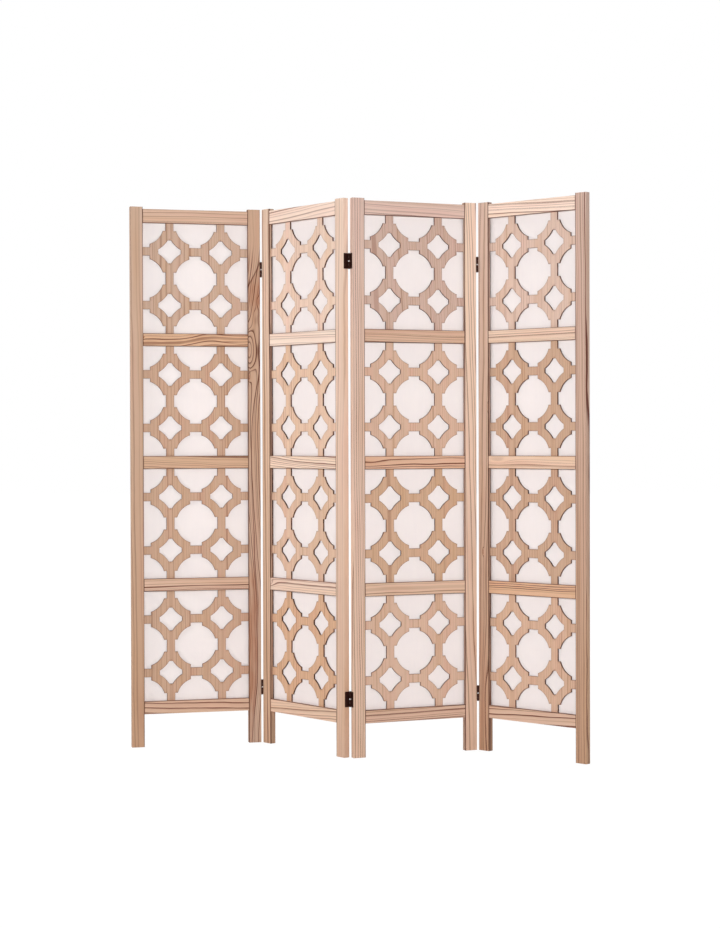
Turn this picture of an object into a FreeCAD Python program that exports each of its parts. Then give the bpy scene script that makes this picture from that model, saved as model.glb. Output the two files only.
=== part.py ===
import FreeCAD
import Part
import math
import os

# Folding room divider of four panels that stand in a zigzag, in millimetres.
# The front of the row faces -Y, +X runs to the right along the row and +Z is up.
# The origin lies on the floor, under the middle of the standing row's outer box.
# Inside a panel, x runs from its left edge, y from its front face and z from the floor.

# Counts
CELL_COUNT = 4
DOWELS_PER_RAIL_END = 2
SCREWS_PER_LEAF = 2

# How the row stands: the turn of each panel from +X, in degrees, seen from above
PANEL_HEADINGS = (15.1, -50.9, 22.7, -43.3)

# The face that the pins of each joint stand in front of, from left to right
PIN_SIDES = ("front", "back", "front")

# Frame of a panel
PANEL_WIDTH = 440.0
PANEL_HEIGHT = 1800.0
FRAME_THICKNESS = 20.0
STILE_WIDTH = 42.0
RAIL_HEIGHT = 42.5
TOP_RAIL_HEIGHT = 46.0
RAIL_SETBACK = 0.5
LEG_HEIGHT = 109.5
HORN_HEIGHT = 7.0
EDGE_ROUND = 0.8

# Groove in the frame, and the board and the sheet that it holds
GROOVE_SETBACK = 9.0
GROOVE_DEPTH = 7.0
GROOVE_PLAY = 0.1
BORDER_PLAY = 0.5
BOARD_THICKNESS = 5.0
SHEET_THICKNESS = 0.5

# Lattice pattern of a board: rings that meet at straight bars, with diamonds between them
RING_INSET = 4.7
UPRIGHT_BAR_WIDTH = 27.0
LEVEL_BAR_WIDTH = 28.0
SHOULDER_DEPTH = 6.0
SHOULDER_WIDTH = 40.0
RING_WIDTH = 28.5
DIAMOND_SPAN = 76.5
EDGE_OVERLAP = 1.5

# Dowels between the rails and the stiles
DOWEL_DIAMETER = 6.0
DOWEL_LENGTH = 30.0
DOWEL_MARGIN = 3.5
DOWEL_PLAY = 0.05
DOWEL_CHAMFER = 0.8

# Hinges
LOWER_HINGE_HEIGHT = 188.0
UPPER_HINGE_DROP = 202.0
EDGE_GAP = 4.0
HINGE_HEIGHT = 50.0
LEAF_MARGIN = 2.0
LEAF_THICKNESS = 1.2
LEAF_CORNER = 2.0
MIDDLE_GAP = 4.0
KNUCKLE_GAP = 0.3
PIN_DIAMETER = 3.5
PIN_PLAY = 0.05
PIN_HEAD_DIAMETER = 5.0
PIN_HEAD_HEIGHT = 0.8

# Hinge screws
SCREW_SPACING = 30.0
SCREW_SHANK_DIAMETER = 2.4
SCREW_HEAD_DIAMETER = 4.8
SCREW_LENGTH = 14.0
SCREW_TIP_LENGTH = 3.0
SCREW_PLAY = 0.05
SCREW_SLOT_WIDTH = 0.6
SCREW_SLOT_LENGTH = 2.8
SCREW_SLOT_DEPTH = 0.6

# Free depth that a hole keeps past the end of its dowel or screw
HOLE_END_GAP = 0.5

# How far a cutting tool runs past the face that it cuts
OVERRUN = 1.0

# Sizes worked out from the ones above
OPENING_WIDTH = PANEL_WIDTH - 2 * STILE_WIDTH
RAIL_COUNT = CELL_COUNT + 1
LOWER_RAILS_HEIGHT = CELL_COUNT * RAIL_HEIGHT
ALL_CELLS_HEIGHT = PANEL_HEIGHT - LEG_HEIGHT - HORN_HEIGHT - LOWER_RAILS_HEIGHT - TOP_RAIL_HEIGHT
CELL_HEIGHT = ALL_CELLS_HEIGHT / CELL_COUNT
CELL_PITCH = CELL_HEIGHT + RAIL_HEIGHT
GROOVE_WIDTH = BOARD_THICKNESS + SHEET_THICKNESS + 2 * GROOVE_PLAY
BOARD_BORDER = GROOVE_DEPTH - BORDER_PLAY
BOARD_FRONT = GROOVE_SETBACK + GROOVE_PLAY
SHEET_FRONT = BOARD_FRONT + BOARD_THICKNESS
FRAME_MIDDLE = FRAME_THICKNESS / 2
DOWEL_SPACING = RAIL_HEIGHT - 2 * (GROOVE_DEPTH + DOWEL_MARGIN) - DOWEL_DIAMETER
LEAF_WIDTH = FRAME_THICKNESS - LEAF_MARGIN
PIN_RADIUS = PIN_DIAMETER / 2
BORE_RADIUS = PIN_RADIUS + PIN_PLAY
KNUCKLE_RADIUS = BORE_RADIUS + LEAF_THICKNESS
PIN_STANDOFF = KNUCKLE_RADIUS
HINGE_CENTRES = (LOWER_HINGE_HEIGHT, PANEL_HEIGHT - UPPER_HINGE_DROP)
HINGE_NAMES = ("lower", "upper")
RAIL_NAMES = ("bottom", "lower", "middle", "upper", "top")

X_AXIS = FreeCAD.Vector(1, 0, 0)
Y_AXIS = FreeCAD.Vector(0, 1, 0)
Z_AXIS = FreeCAD.Vector(0, 0, 1)


def block(xs, ys, zs):
    """A box between two values along each axis, given in either order."""
    low = FreeCAD.Vector(min(xs), min(ys), min(zs))
    high = FreeCAD.Vector(max(xs), max(ys), max(zs))
    size = high - low
    return Part.makeBox(size.x, size.y, size.z, low)


def edges_along(solid, axis):
    """The straight edges of a solid that run along an axis."""
    found = []
    for edge in solid.Edges:
        first = edge.Vertexes[0].Point
        last = edge.Vertexes[-1].Point
        run = last - first
        if run.Length > 0 and abs(run.dot(axis)) / run.Length > math.cos(math.radians(1)):
            found.append(edge)
    return found


def moved(shape, offset):
    """A copy of a shape, shifted by a vector."""
    copy = shape.copy()
    copy.translate(offset)
    return copy


def rail_bottom(index):
    """Height of the lower edge of a rail, counted from the bottom rail."""
    return LEG_HEIGHT + index * CELL_PITCH


def rail_height(index):
    """Height of a rail, counted from the bottom rail. The top rail is higher than the others."""
    return TOP_RAIL_HEIGHT if index == CELL_COUNT else RAIL_HEIGHT


def cell_bottom(index):
    """Height of the lower edge of a cell's opening, counted from the bottom cell."""
    return rail_bottom(index) + RAIL_HEIGHT


def dowel_heights(index):
    """Heights of the dowels in one end of a rail, spread about the rail's middle."""
    middle = rail_bottom(index) + rail_height(index) / 2
    first = middle - DOWEL_SPACING * (DOWELS_PER_RAIL_END - 1) / 2
    return [first + DOWEL_SPACING * count for count in range(DOWELS_PER_RAIL_END)]


def screw_heights(hinge_centre):
    """Heights of the screws in one leaf, spread about the hinge's middle."""
    first = hinge_centre - SCREW_SPACING * (SCREWS_PER_LEAF - 1) / 2
    return [first + SCREW_SPACING * count for count in range(SCREWS_PER_LEAF)]


def screw_depth(pin_side):
    """Place of a leaf's screws across the stile's edge, on the middle of the leaf."""
    if pin_side == "front":
        return LEAF_WIDTH / 2
    return FRAME_THICKNESS - LEAF_WIDTH / 2


def dowel_holes(face_x):
    """The holes for every dowel that crosses one joint line between a stile and the rails."""
    radius = DOWEL_DIAMETER / 2 + DOWEL_PLAY
    reach = DOWEL_LENGTH / 2 + HOLE_END_GAP
    holes = []
    for index in range(RAIL_COUNT):
        for height in dowel_heights(index):
            start = FreeCAD.Vector(face_x - reach, FRAME_MIDDLE, height)
            holes.append(Part.makeCylinder(radius, 2 * reach, start, X_AXIS))
    return holes


def screw_holes(edge_x, inward, pin_side):
    """The pilot holes for the screws of both hinges on one outer edge of a panel."""
    radius = SCREW_SHANK_DIAMETER / 2 + SCREW_PLAY
    depth = SCREW_LENGTH - LEAF_THICKNESS + HOLE_END_GAP
    across = screw_depth(pin_side)
    holes = []
    for centre in HINGE_CENTRES:
        for height in screw_heights(centre):
            start = FreeCAD.Vector(edge_x - inward * OVERRUN, across, height)
            holes.append(Part.makeCylinder(radius, depth + OVERRUN, start, X_AXIS * inward))
    return holes


def make_stile(side, pin_side):
    """An upright with eased long edges, a stopped groove beside each cell, and its holes."""
    if side == "left":
        outer = 0.0
        inner = STILE_WIDTH
        inward = 1
    else:
        outer = PANEL_WIDTH
        inner = PANEL_WIDTH - STILE_WIDTH
        inward = -1
    solid = block((outer, inner), (0, FRAME_THICKNESS), (0, PANEL_HEIGHT))
    solid = solid.makeFillet(EDGE_ROUND, edges_along(solid, Z_AXIS))
    groove_ys = (GROOVE_SETBACK, GROOVE_SETBACK + GROOVE_WIDTH)
    groove_xs = (inner - inward * GROOVE_DEPTH, inner + inward * OVERRUN)
    tools = []
    for index in range(CELL_COUNT):
        low = cell_bottom(index) - GROOVE_DEPTH
        high = cell_bottom(index) + CELL_HEIGHT + GROOVE_DEPTH
        tools.append(block(groove_xs, groove_ys, (low, high)))
    tools += dowel_holes(inner)
    if pin_side:
        tools += screw_holes(outer, inward, pin_side)
    return solid.cut(tools)


def make_rail(index):
    """A cross rail between the stiles, grooved towards each cell that it borders."""
    ends = (STILE_WIDTH, PANEL_WIDTH - STILE_WIDTH)
    low = rail_bottom(index)
    high = low + rail_height(index)
    solid = block(ends, (RAIL_SETBACK, FRAME_THICKNESS - RAIL_SETBACK), (low, high))
    solid = solid.makeFillet(EDGE_ROUND, edges_along(solid, X_AXIS))
    groove_xs = (ends[0] - OVERRUN, ends[1] + OVERRUN)
    groove_ys = (GROOVE_SETBACK, GROOVE_SETBACK + GROOVE_WIDTH)
    tools = dowel_holes(ends[0]) + dowel_holes(ends[1])
    if index > 0:
        tools.append(block(groove_xs, groove_ys, (low - OVERRUN, low + GROOVE_DEPTH)))
    if index < CELL_COUNT:
        tools.append(block(groove_xs, groove_ys, (high - GROOVE_DEPTH, high + OVERRUN)))
    return solid.cut(tools)


def make_dowels():
    """The dowels of one panel, each with chamfered ends."""
    solids = []
    for face_x in (STILE_WIDTH, PANEL_WIDTH - STILE_WIDTH):
        for index in range(RAIL_COUNT):
            for height in dowel_heights(index):
                start = FreeCAD.Vector(face_x - DOWEL_LENGTH / 2, FRAME_MIDDLE, height)
                solid = Part.makeCylinder(DOWEL_DIAMETER / 2, DOWEL_LENGTH, start, X_AXIS)
                rims = [edge for edge in solid.Edges if edge.isClosed()]
                solids.append(solid.makeChamfer(DOWEL_CHAMFER, rims))
    return solids


def ring_pitches():
    """Distance between the ring openings' centres, across and up the board."""
    return OPENING_WIDTH / 2 - RING_INSET, CELL_HEIGHT / 2 - RING_INSET


def ring_opening(centre_x, centre_z, half_x, half_z):
    """A round opening with a square shoulder on each of its four sides, as a cutting tool."""
    radius = min(half_x, half_z) - SHOULDER_DEPTH
    depth = BOARD_THICKNESS + 2 * OVERRUN
    front = BOARD_FRONT - OVERRUN
    ys = (front, front + depth)
    half_shoulder = SHOULDER_WIDTH / 2
    tool = Part.makeCylinder(radius, depth, FreeCAD.Vector(centre_x, front, centre_z), Y_AXIS)
    across = block(
        (centre_x - half_x, centre_x + half_x), ys, (centre_z - half_shoulder, centre_z + half_shoulder)
    )
    upright = block(
        (centre_x - half_shoulder, centre_x + half_shoulder), ys, (centre_z - half_z, centre_z + half_z)
    )
    return tool.fuse([across, upright])


def diamond_opening(centre_x, centre_z, pitch_x, pitch_z, outer_radius):
    """A diamond with blunt tips and hollow sides that follow the four rings around it."""
    depth = BOARD_THICKNESS + 2 * OVERRUN
    front = BOARD_FRONT - OVERRUN
    half = DIAMOND_SPAN / 2
    tool = block(
        (centre_x - half, centre_x + half), (front, front + depth), (centre_z - half, centre_z + half)
    )
    rings = []
    for side in (-1, 1):
        for level in (-1, 1):
            base = FreeCAD.Vector(centre_x + side * pitch_x / 2, front, centre_z + level * pitch_z / 2)
            rings.append(Part.makeCylinder(outer_radius, depth, base, Y_AXIS))
    return tool.cut(rings)


def make_board():
    """The lattice board of the bottom cell: one whole ring, four halves, four quarters, four diamonds."""
    low = cell_bottom(0)
    middle_x = PANEL_WIDTH / 2
    middle_z = low + CELL_HEIGHT / 2
    pitch_x, pitch_z = ring_pitches()
    half_x = (pitch_x - UPRIGHT_BAR_WIDTH) / 2
    half_z = (pitch_z - LEVEL_BAR_WIDTH) / 2
    outer_radius = min(half_x, half_z) - SHOULDER_DEPTH + RING_WIDTH
    left = STILE_WIDTH
    right = PANEL_WIDTH - STILE_WIDTH
    board = block(
        (left - BOARD_BORDER, right + BOARD_BORDER),
        (BOARD_FRONT, SHEET_FRONT),
        (low - BOARD_BORDER, low + CELL_HEIGHT + BOARD_BORDER),
    )
    window = block(
        (left - EDGE_OVERLAP, right + EDGE_OVERLAP),
        (BOARD_FRONT - OVERRUN, SHEET_FRONT + OVERRUN),
        (low - EDGE_OVERLAP, low + CELL_HEIGHT + EDGE_OVERLAP),
    )
    tools = []
    for column in (-1, 0, 1):
        for row in (-1, 0, 1):
            opening = ring_opening(
                middle_x + column * pitch_x, middle_z + row * pitch_z, half_x, half_z
            )
            tools.append(opening.common(window))
    for column in (-1, 1):
        for row in (-1, 1):
            tools.append(
                diamond_opening(
                    middle_x + column * pitch_x / 2,
                    middle_z + row * pitch_z / 2,
                    pitch_x,
                    pitch_z,
                    outer_radius,
                )
            )
    return board.cut(tools).removeSplitter()


def make_sheet():
    """The white sheet of the bottom cell, flat behind the board and held in the same groove."""
    low = cell_bottom(0)
    return block(
        (STILE_WIDTH - BOARD_BORDER, PANEL_WIDTH - STILE_WIDTH + BOARD_BORDER),
        (SHEET_FRONT, SHEET_FRONT + SHEET_THICKNESS),
        (low - BOARD_BORDER, low + CELL_HEIGHT + BOARD_BORDER),
    )


def per_cell(solid):
    """Copies of a bottom cell's piece, one in every cell."""
    return [moved(solid, Z_AXIS * (index * CELL_PITCH)) for index in range(CELL_COUNT)]


def make_screw(outward):
    """A countersunk screw along x, its head's flat face at x = 0 and towards outward."""
    inward = X_AXIS * (-outward)
    start = FreeCAD.Vector(0, 0, 0)
    shank_radius = SCREW_SHANK_DIAMETER / 2
    head_radius = SCREW_HEAD_DIAMETER / 2
    shank_end = SCREW_LENGTH - SCREW_TIP_LENGTH
    head = Part.makeCone(head_radius, shank_radius, LEAF_THICKNESS, start, inward)
    shank = Part.makeCylinder(shank_radius, shank_end - LEAF_THICKNESS, inward * LEAF_THICKNESS, inward)
    tip = Part.makeCone(shank_radius, 0, SCREW_TIP_LENGTH, inward * shank_end, inward)
    solid = head.fuse([shank, tip]).removeSplitter()
    half_length = SCREW_SLOT_LENGTH / 2
    half_width = SCREW_SLOT_WIDTH / 2
    slot_xs = (-outward * SCREW_SLOT_DEPTH, outward * OVERRUN)
    level = block(slot_xs, (-half_length, half_length), (-half_width, half_width))
    upright = block(slot_xs, (-half_width, half_width), (-half_length, half_length))
    return solid.cut([level, upright])


def make_screws(edge_x, outward, pin_side):
    """The screws of both hinges on one outer edge of a panel, heads flush with their leaves."""
    screw = make_screw(outward)
    face_x = edge_x + outward * LEAF_THICKNESS
    solids = []
    for centre in HINGE_CENTRES:
        for height in screw_heights(centre):
            solids.append(moved(screw, FreeCAD.Vector(face_x, screw_depth(pin_side), height)))
    return solids


def knuckle_spans():
    """Lower and upper end of each of the four knuckles, about the hinge's middle."""
    length = (HINGE_HEIGHT - MIDDLE_GAP - 2 * KNUCKLE_GAP) / 4
    inner_low = MIDDLE_GAP / 2
    inner_high = inner_low + length
    outer_low = inner_high + KNUCKLE_GAP
    outer_high = outer_low + length
    return [
        (-outer_high, -outer_low),
        (-inner_high, -inner_low),
        (inner_low, inner_high),
        (outer_low, outer_high),
    ]


def make_leaf(side, pin_side):
    """A hinge leaf about its pin's axis, with the hinge's middle at z = 0.

    The left leaf lies on the left panel's edge, at negative x, and owns the first and third
    knuckle. The plate runs from the pin across the stile's edge, towards the panel's far face.
    """
    half_height = HINGE_HEIGHT / 2
    outward = -1 if side == "left" else 1
    behind = 1 if pin_side == "front" else -1
    wood_x = outward * EDGE_GAP / 2
    inner_x = wood_x - outward * LEAF_THICKNESS
    free_y = behind * (PIN_STANDOFF + LEAF_WIDTH)
    plate = block((wood_x, inner_x), (0, free_y), (-half_height, half_height))
    corners = []
    for edge in edges_along(plate, X_AXIS):
        if abs(edge.Vertexes[0].Point.y) > PIN_STANDOFF:
            corners.append(edge)
    plate = plate.makeFillet(LEAF_CORNER, corners)
    spans = knuckle_spans()
    own = spans[0::2] if side == "left" else spans[1::2]
    tool_start = Z_AXIS * (-half_height - OVERRUN)
    tool_length = HINGE_HEIGHT + 2 * OVERRUN
    clearing = Part.makeCylinder(KNUCKLE_RADIUS + KNUCKLE_GAP, tool_length, tool_start, Z_AXIS)
    barrels = []
    tongues = []
    for low, high in own:
        barrels.append(Part.makeCylinder(KNUCKLE_RADIUS, high - low, Z_AXIS * low, Z_AXIS))
        tongues.append(block((wood_x, inner_x), (0, free_y), (low, high)).common(clearing))
    bore = Part.makeCylinder(BORE_RADIUS, tool_length, tool_start, Z_AXIS)
    leaf = plate.cut(clearing).fuse(tongues + barrels).cut(bore).removeSplitter()
    across = behind * (PIN_STANDOFF + LEAF_WIDTH / 2)
    sinks = []
    for height in screw_heights(0):
        start = FreeCAD.Vector(inner_x, across, height)
        sinks.append(
            Part.makeCone(
                SCREW_HEAD_DIAMETER / 2 + SCREW_PLAY,
                SCREW_SHANK_DIAMETER / 2 + SCREW_PLAY,
                LEAF_THICKNESS,
                start,
                X_AXIS * outward,
            )
        )
    return leaf.cut(sinks)


def make_pin():
    """A hinge pin about z with a flat head at each end, clear of the outer knuckles."""
    half_length = HINGE_HEIGHT / 2 + KNUCKLE_GAP
    solid = Part.makeCylinder(PIN_RADIUS, 2 * half_length, Z_AXIS * (-half_length), Z_AXIS)
    head_radius = PIN_HEAD_DIAMETER / 2
    top = Part.makeCylinder(head_radius, PIN_HEAD_HEIGHT, Z_AXIS * half_length, Z_AXIS)
    bottom = Part.makeCylinder(head_radius, PIN_HEAD_HEIGHT, Z_AXIS * (-half_length), -Z_AXIS)
    return solid.fuse([top, bottom]).removeSplitter()


def direction(heading):
    """Unit vector along a panel with the given heading."""
    angle = math.radians(heading)
    return FreeCAD.Vector(math.cos(angle), math.sin(angle), 0)


def stand_panels():
    """Front left corner of every panel and the axis of every joint, from left to right.

    A pin lies half an edge gap past the panel's edge and a standoff outside the face that it
    serves. The next panel's edge lies half an edge gap past the pin in its own direction.
    The whole row is then centred on the origin.
    """
    corners = [FreeCAD.Vector(0, 0, 0)]
    pins = []
    for index, pin_side in enumerate(PIN_SIDES):
        offset = -PIN_STANDOFF if pin_side == "front" else FRAME_THICKNESS + PIN_STANDOFF
        along = direction(PANEL_HEADINGS[index])
        back = Z_AXIS.cross(along)
        pin = corners[index] + along * (PANEL_WIDTH + EDGE_GAP / 2) + back * offset
        next_along = direction(PANEL_HEADINGS[index + 1])
        next_back = Z_AXIS.cross(next_along)
        pins.append(pin)
        corners.append(pin + next_along * (EDGE_GAP / 2) - next_back * offset)
    outline = []
    for corner, heading in zip(corners, PANEL_HEADINGS):
        along = direction(heading)
        back = Z_AXIS.cross(along)
        for x in (0, PANEL_WIDTH):
            for y in (0, FRAME_THICKNESS):
                outline.append(corner + along * x + back * y)
    xs = [point.x for point in outline]
    ys = [point.y for point in outline]
    middle = FreeCAD.Vector((min(xs) + max(xs)) / 2, (min(ys) + max(ys)) / 2, 0)
    return [corner - middle for corner in corners], [pin - middle for pin in pins]


def placed(shape, corner, heading):
    """A copy of a shape, turned about z by a heading and then carried to a corner."""
    copy = shape.copy()
    copy.rotate(FreeCAD.Vector(0, 0, 0), Z_AXIS, heading)
    copy.translate(corner)
    return copy


def save(name, solids):
    """Writes one named piece, or a group of like pieces, to its own file."""
    shape = solids[0] if len(solids) == 1 else Part.makeCompound(solids)
    shape.exportStep(f"parts/{name}.step")


def save_panel(number, corner, heading, left_pin_side, right_pin_side):
    """Makes every piece of one panel and saves it where it stands."""
    pieces = {
        "left_stile": [make_stile("left", left_pin_side)],
        "right_stile": [make_stile("right", right_pin_side)],
        "lattice_boards": per_cell(make_board()),
        "sheets": per_cell(make_sheet()),
        "dowels": make_dowels(),
        "hinge_screws": [],
    }
    for index, rail_name in enumerate(RAIL_NAMES):
        pieces[f"{rail_name}_rail"] = [make_rail(index)]
    if left_pin_side:
        pieces["hinge_screws"] += make_screws(0, -1, left_pin_side)
    if right_pin_side:
        pieces["hinge_screws"] += make_screws(PANEL_WIDTH, 1, right_pin_side)
    for piece_name, solids in pieces.items():
        save(f"panel_{number}_{piece_name}", [placed(solid, corner, heading) for solid in solids])


def save_joint(index, pin):
    """Makes both hinges of one joint and saves them about their common axis."""
    pin_side = PIN_SIDES[index]
    joint_name = f"{index + 1}_{index + 2}"
    pins = []
    for hinge_name, centre in zip(HINGE_NAMES, HINGE_CENTRES):
        place = pin + Z_AXIS * centre
        left = placed(make_leaf("left", pin_side), place, PANEL_HEADINGS[index])
        right = placed(make_leaf("right", pin_side), place, PANEL_HEADINGS[index + 1])
        save(f"{hinge_name}_hinge_{joint_name}_left_leaf", [left])
        save(f"{hinge_name}_hinge_{joint_name}_right_leaf", [right])
        pins.append(placed(make_pin(), place, PANEL_HEADINGS[index]))
    save(f"hinge_pins_{joint_name}", pins)


os.makedirs("parts", exist_ok=True)
panel_corners, joint_pins = stand_panels()
left_sides = (None,) + PIN_SIDES
right_sides = PIN_SIDES + (None,)
for panel_index, panel_corner in enumerate(panel_corners):
    save_panel(
        panel_index + 1,
        panel_corner,
        PANEL_HEADINGS[panel_index],
        left_sides[panel_index],
        right_sides[panel_index],
    )
for joint_index, joint_pin in enumerate(joint_pins):
    save_joint(joint_index, joint_pin)
    print(f"joint {joint_index + 1}_{joint_index + 2} axis at x {joint_pin.x:.3f} y {joint_pin.y:.3f}")
for panel_index, panel_corner in enumerate(panel_corners):
    print(f"panel {panel_index + 1} front left corner x {panel_corner.x:.3f} y {panel_corner.y:.3f}")
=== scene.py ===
"""Visual model of a folding room divider of four panels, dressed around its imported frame.

Every panel is a pine frame with four cells. A cell holds a thin lattice board and a white
sheet behind it. Lengths are in metres, in the row frame: the front faces -Y and +Z is up.
Inside a panel, x runs from its left edge, y from its front face and z from the floor.
"""

import logging
import math
from dataclasses import dataclass
from enum import Enum, IntEnum

import bmesh
import bpy
import numpy as np
from mathutils import Matrix, Vector


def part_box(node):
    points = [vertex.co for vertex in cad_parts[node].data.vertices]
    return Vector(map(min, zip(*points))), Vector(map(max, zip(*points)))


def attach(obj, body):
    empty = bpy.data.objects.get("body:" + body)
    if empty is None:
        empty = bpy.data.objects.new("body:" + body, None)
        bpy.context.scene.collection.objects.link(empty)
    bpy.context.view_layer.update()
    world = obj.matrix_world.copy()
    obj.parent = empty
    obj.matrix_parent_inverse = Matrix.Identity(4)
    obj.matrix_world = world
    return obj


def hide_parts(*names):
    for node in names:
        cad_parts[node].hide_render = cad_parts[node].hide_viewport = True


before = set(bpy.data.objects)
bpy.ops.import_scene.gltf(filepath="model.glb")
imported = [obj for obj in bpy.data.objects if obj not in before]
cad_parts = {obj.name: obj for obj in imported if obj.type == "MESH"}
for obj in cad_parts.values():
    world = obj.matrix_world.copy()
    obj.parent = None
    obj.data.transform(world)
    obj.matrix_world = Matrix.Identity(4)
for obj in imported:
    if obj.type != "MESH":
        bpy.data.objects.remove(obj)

Colour = tuple[float, float, float, float]
Material = bpy.types.Material
Mesh = bpy.types.Mesh
Piece = bpy.types.Object
Socket = bpy.types.NodeSocket

LOG = logging.getLogger("divider")
MM = 0.001
FAR_OFF = 10.0
LOG_STRETCH = 0.37  # how far apart two pieces read their patterns, per seed
LOG_SEED = 0.618
CALM_STRENGTH = 0.85
RAIL_NAMES = ("bottom", "lower", "middle", "upper", "top")
KNOT_COUNT = 4
SEAM_COUNT = 2
WHITE = (1.0, 1.0, 1.0, 1.0)
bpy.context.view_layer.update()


# Material graphs


class Value:
    """A number that varies over a surface. Python operators on it add Math nodes."""

    def __init__(self, graph: "Graph", socket: Socket) -> None:
        """Wraps an output socket of a graph."""
        self.graph = graph
        self.socket = socket

    def _math(self, operation: str, *terms: "Value | float") -> "Value":
        """The result of a Math node on the given terms."""
        node = self.graph.node("ShaderNodeMath", {"operation": operation}, dict(enumerate(terms)))
        return Value(self.graph, node.outputs[0])

    def __add__(self, other: "Value | float") -> "Value":
        """Sum."""
        return self._math("ADD", self, other)

    def __radd__(self, other: float) -> "Value":
        """Sum with a number on the left."""
        return self._math("ADD", other, self)

    def __sub__(self, other: "Value | float") -> "Value":
        """Difference."""
        return self._math("SUBTRACT", self, other)

    def __rsub__(self, other: float) -> "Value":
        """Difference from a number on the left."""
        return self._math("SUBTRACT", other, self)

    def __mul__(self, other: "Value | float") -> "Value":
        """Product."""
        return self._math("MULTIPLY", self, other)

    def __rmul__(self, other: float) -> "Value":
        """Product with a number on the left."""
        return self._math("MULTIPLY", other, self)

    def __truediv__(self, other: "Value | float") -> "Value":
        """Quotient."""
        return self._math("DIVIDE", self, other)

    def __pow__(self, power: "Value | float") -> "Value":
        """Power."""
        return self._math("POWER", self, power)

    def root(self) -> "Value":
        """Square root."""
        return self._math("SQRT", self)

    def floor(self) -> "Value":
        """The whole number below."""
        return self._math("FLOOR", self)

    def fraction(self) -> "Value":
        """The part after the decimal point."""
        return self._math("FRACT", self)

    def falloff(self) -> "Value":
        """A bell that is 1 at 0 and fades as the number grows."""
        return self._math("EXPONENT", self * -1.0)

    def larger(self, other: "Value | float") -> "Value":
        """The larger of two."""
        return self._math("MAXIMUM", self, other)

    def smaller(self, other: "Value | float") -> "Value":
        """The smaller of two."""
        return self._math("MINIMUM", self, other)

    def step(self, low: float, high: float) -> "Value":
        """Rises smoothly from 0 at low to 1 at high."""
        node = self.graph.node(
            "ShaderNodeMapRange",
            {"interpolation_type": "SMOOTHSTEP"},
            {"Value": self, "From Min": low, "From Max": high},
        )
        return Value(self.graph, node.outputs["Result"])


class Graph:
    """The node tree of one material or of the world."""

    def __init__(self, owner: "Material | bpy.types.World") -> None:
        """Clears the nodes of a material or of the world."""
        owner.use_nodes = True
        self.owner = owner
        self.tree = owner.node_tree
        self.tree.nodes.clear()

    def node(
        self, kind: str, settings: dict | None = None, inputs: dict | None = None
    ) -> bpy.types.Node:
        """Adds a node.

        Args:
            kind: Blender's type name of the node.
            settings: Properties to set first, by name.
            inputs: Values or links of its sockets, by name or number.

        Returns:
            The new node.
        """
        node = self.tree.nodes.new(kind)
        for name, setting in (settings or {}).items():
            setattr(node, name, setting)
        for key, content in (inputs or {}).items():
            target = node.inputs[key]
            if isinstance(content, Value):
                content = content.socket
            if isinstance(content, Socket):
                self.tree.links.new(content, target)
            else:
                target.default_value = content
        return node

    def attribute(self, name: str) -> bpy.types.Node:
        """An attribute of the mesh."""
        return self.node("ShaderNodeAttribute", {"attribute_name": name})

    def parts(self, vector: Socket) -> tuple[Value, Value, Value]:
        """The three components of a vector."""
        node = self.node("ShaderNodeSeparateXYZ", None, {0: vector})
        return tuple(Value(self, output) for output in node.outputs)

    def vector(
        self, x: "Value | float", y: "Value | float", z: "Value | float"
    ) -> Socket:
        """A vector from three components."""
        return self.node("ShaderNodeCombineXYZ", None, {0: x, 1: y, 2: z}).outputs[0]

    def noise(
        self, vector: Socket, scale: float, detail: float = 2.0, rough: float = 0.5
    ) -> Value:
        """Smooth noise about 0, from about -1 to 1.

        Args:
            vector: Where it is read.
            scale: Lumps per unit of the vector.
            detail: Number of finer layers on top.
            rough: Strength of each finer layer.

        Returns:
            The noise.
        """
        node = self.node(
            "ShaderNodeTexNoise",
            {"noise_dimensions": "3D"},
            {"Vector": vector, "Scale": scale, "Detail": detail, "Roughness": rough},
        )
        return (Value(self, node.outputs[0]) - 0.5) * 2.0

    def chance(self, number: Value) -> Value:
        """A random number from 0 to 1 that depends on a number."""
        node = self.node("ShaderNodeTexWhiteNoise", {"noise_dimensions": "1D"}, {"W": number})
        return Value(self, node.outputs["Value"])

    def blend(
        self,
        factor: "Value | float",
        first: "Socket | tuple",
        second: "Socket | tuple",
        mode: str = "MIX",
    ) -> Socket:
        """A mix of two colours.

        Args:
            factor: Share of the second colour.
            first: The first colour, or its socket.
            second: The second colour, or its socket.
            mode: How the second is laid on the first.

        Returns:
            The socket of the mixed colour.
        """
        node = self.node(
            "ShaderNodeMix",
            {"data_type": "RGBA", "blend_type": mode, "clamp_factor": True},
            {0: factor, 6: first, 7: second},
        )
        return node.outputs[2]

    def grey(self, level: Value) -> Socket:
        """A grey colour of a varying level."""
        inputs = dict.fromkeys(range(3), level)
        return self.node("ShaderNodeCombineColor", None, inputs).outputs[0]

    def bump(self, height: Value, distance: float, strength: float = 1.0) -> Socket:
        """A normal that follows small heights."""
        inputs = {"Height": height, "Distance": distance, "Strength": strength}
        return self.node("ShaderNodeBump", None, inputs).outputs[0]

    def surface(self, inputs: dict) -> Material:
        """Ends the graph in a Principled surface with the given sockets.

        Args:
            inputs: Values or links of the surface's sockets.

        Returns:
            The finished material.
        """
        shader = self.node("ShaderNodeBsdfPrincipled", None, inputs)
        self.node("ShaderNodeOutputMaterial", None, {"Surface": shader.outputs[0]})
        return self.owner


def colour(red: int, green: int, blue: int) -> Colour:
    """A colour from screen levels of 0 to 255, as the linear values that a shader takes."""
    screen = np.array((red, green, blue)) / 255.0
    linear = np.where(screen <= 0.04045, screen / 12.92, ((screen + 0.055) / 1.055) ** 2.4)
    return (*(float(level) for level in linear), 1.0)


# Finishes


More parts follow.
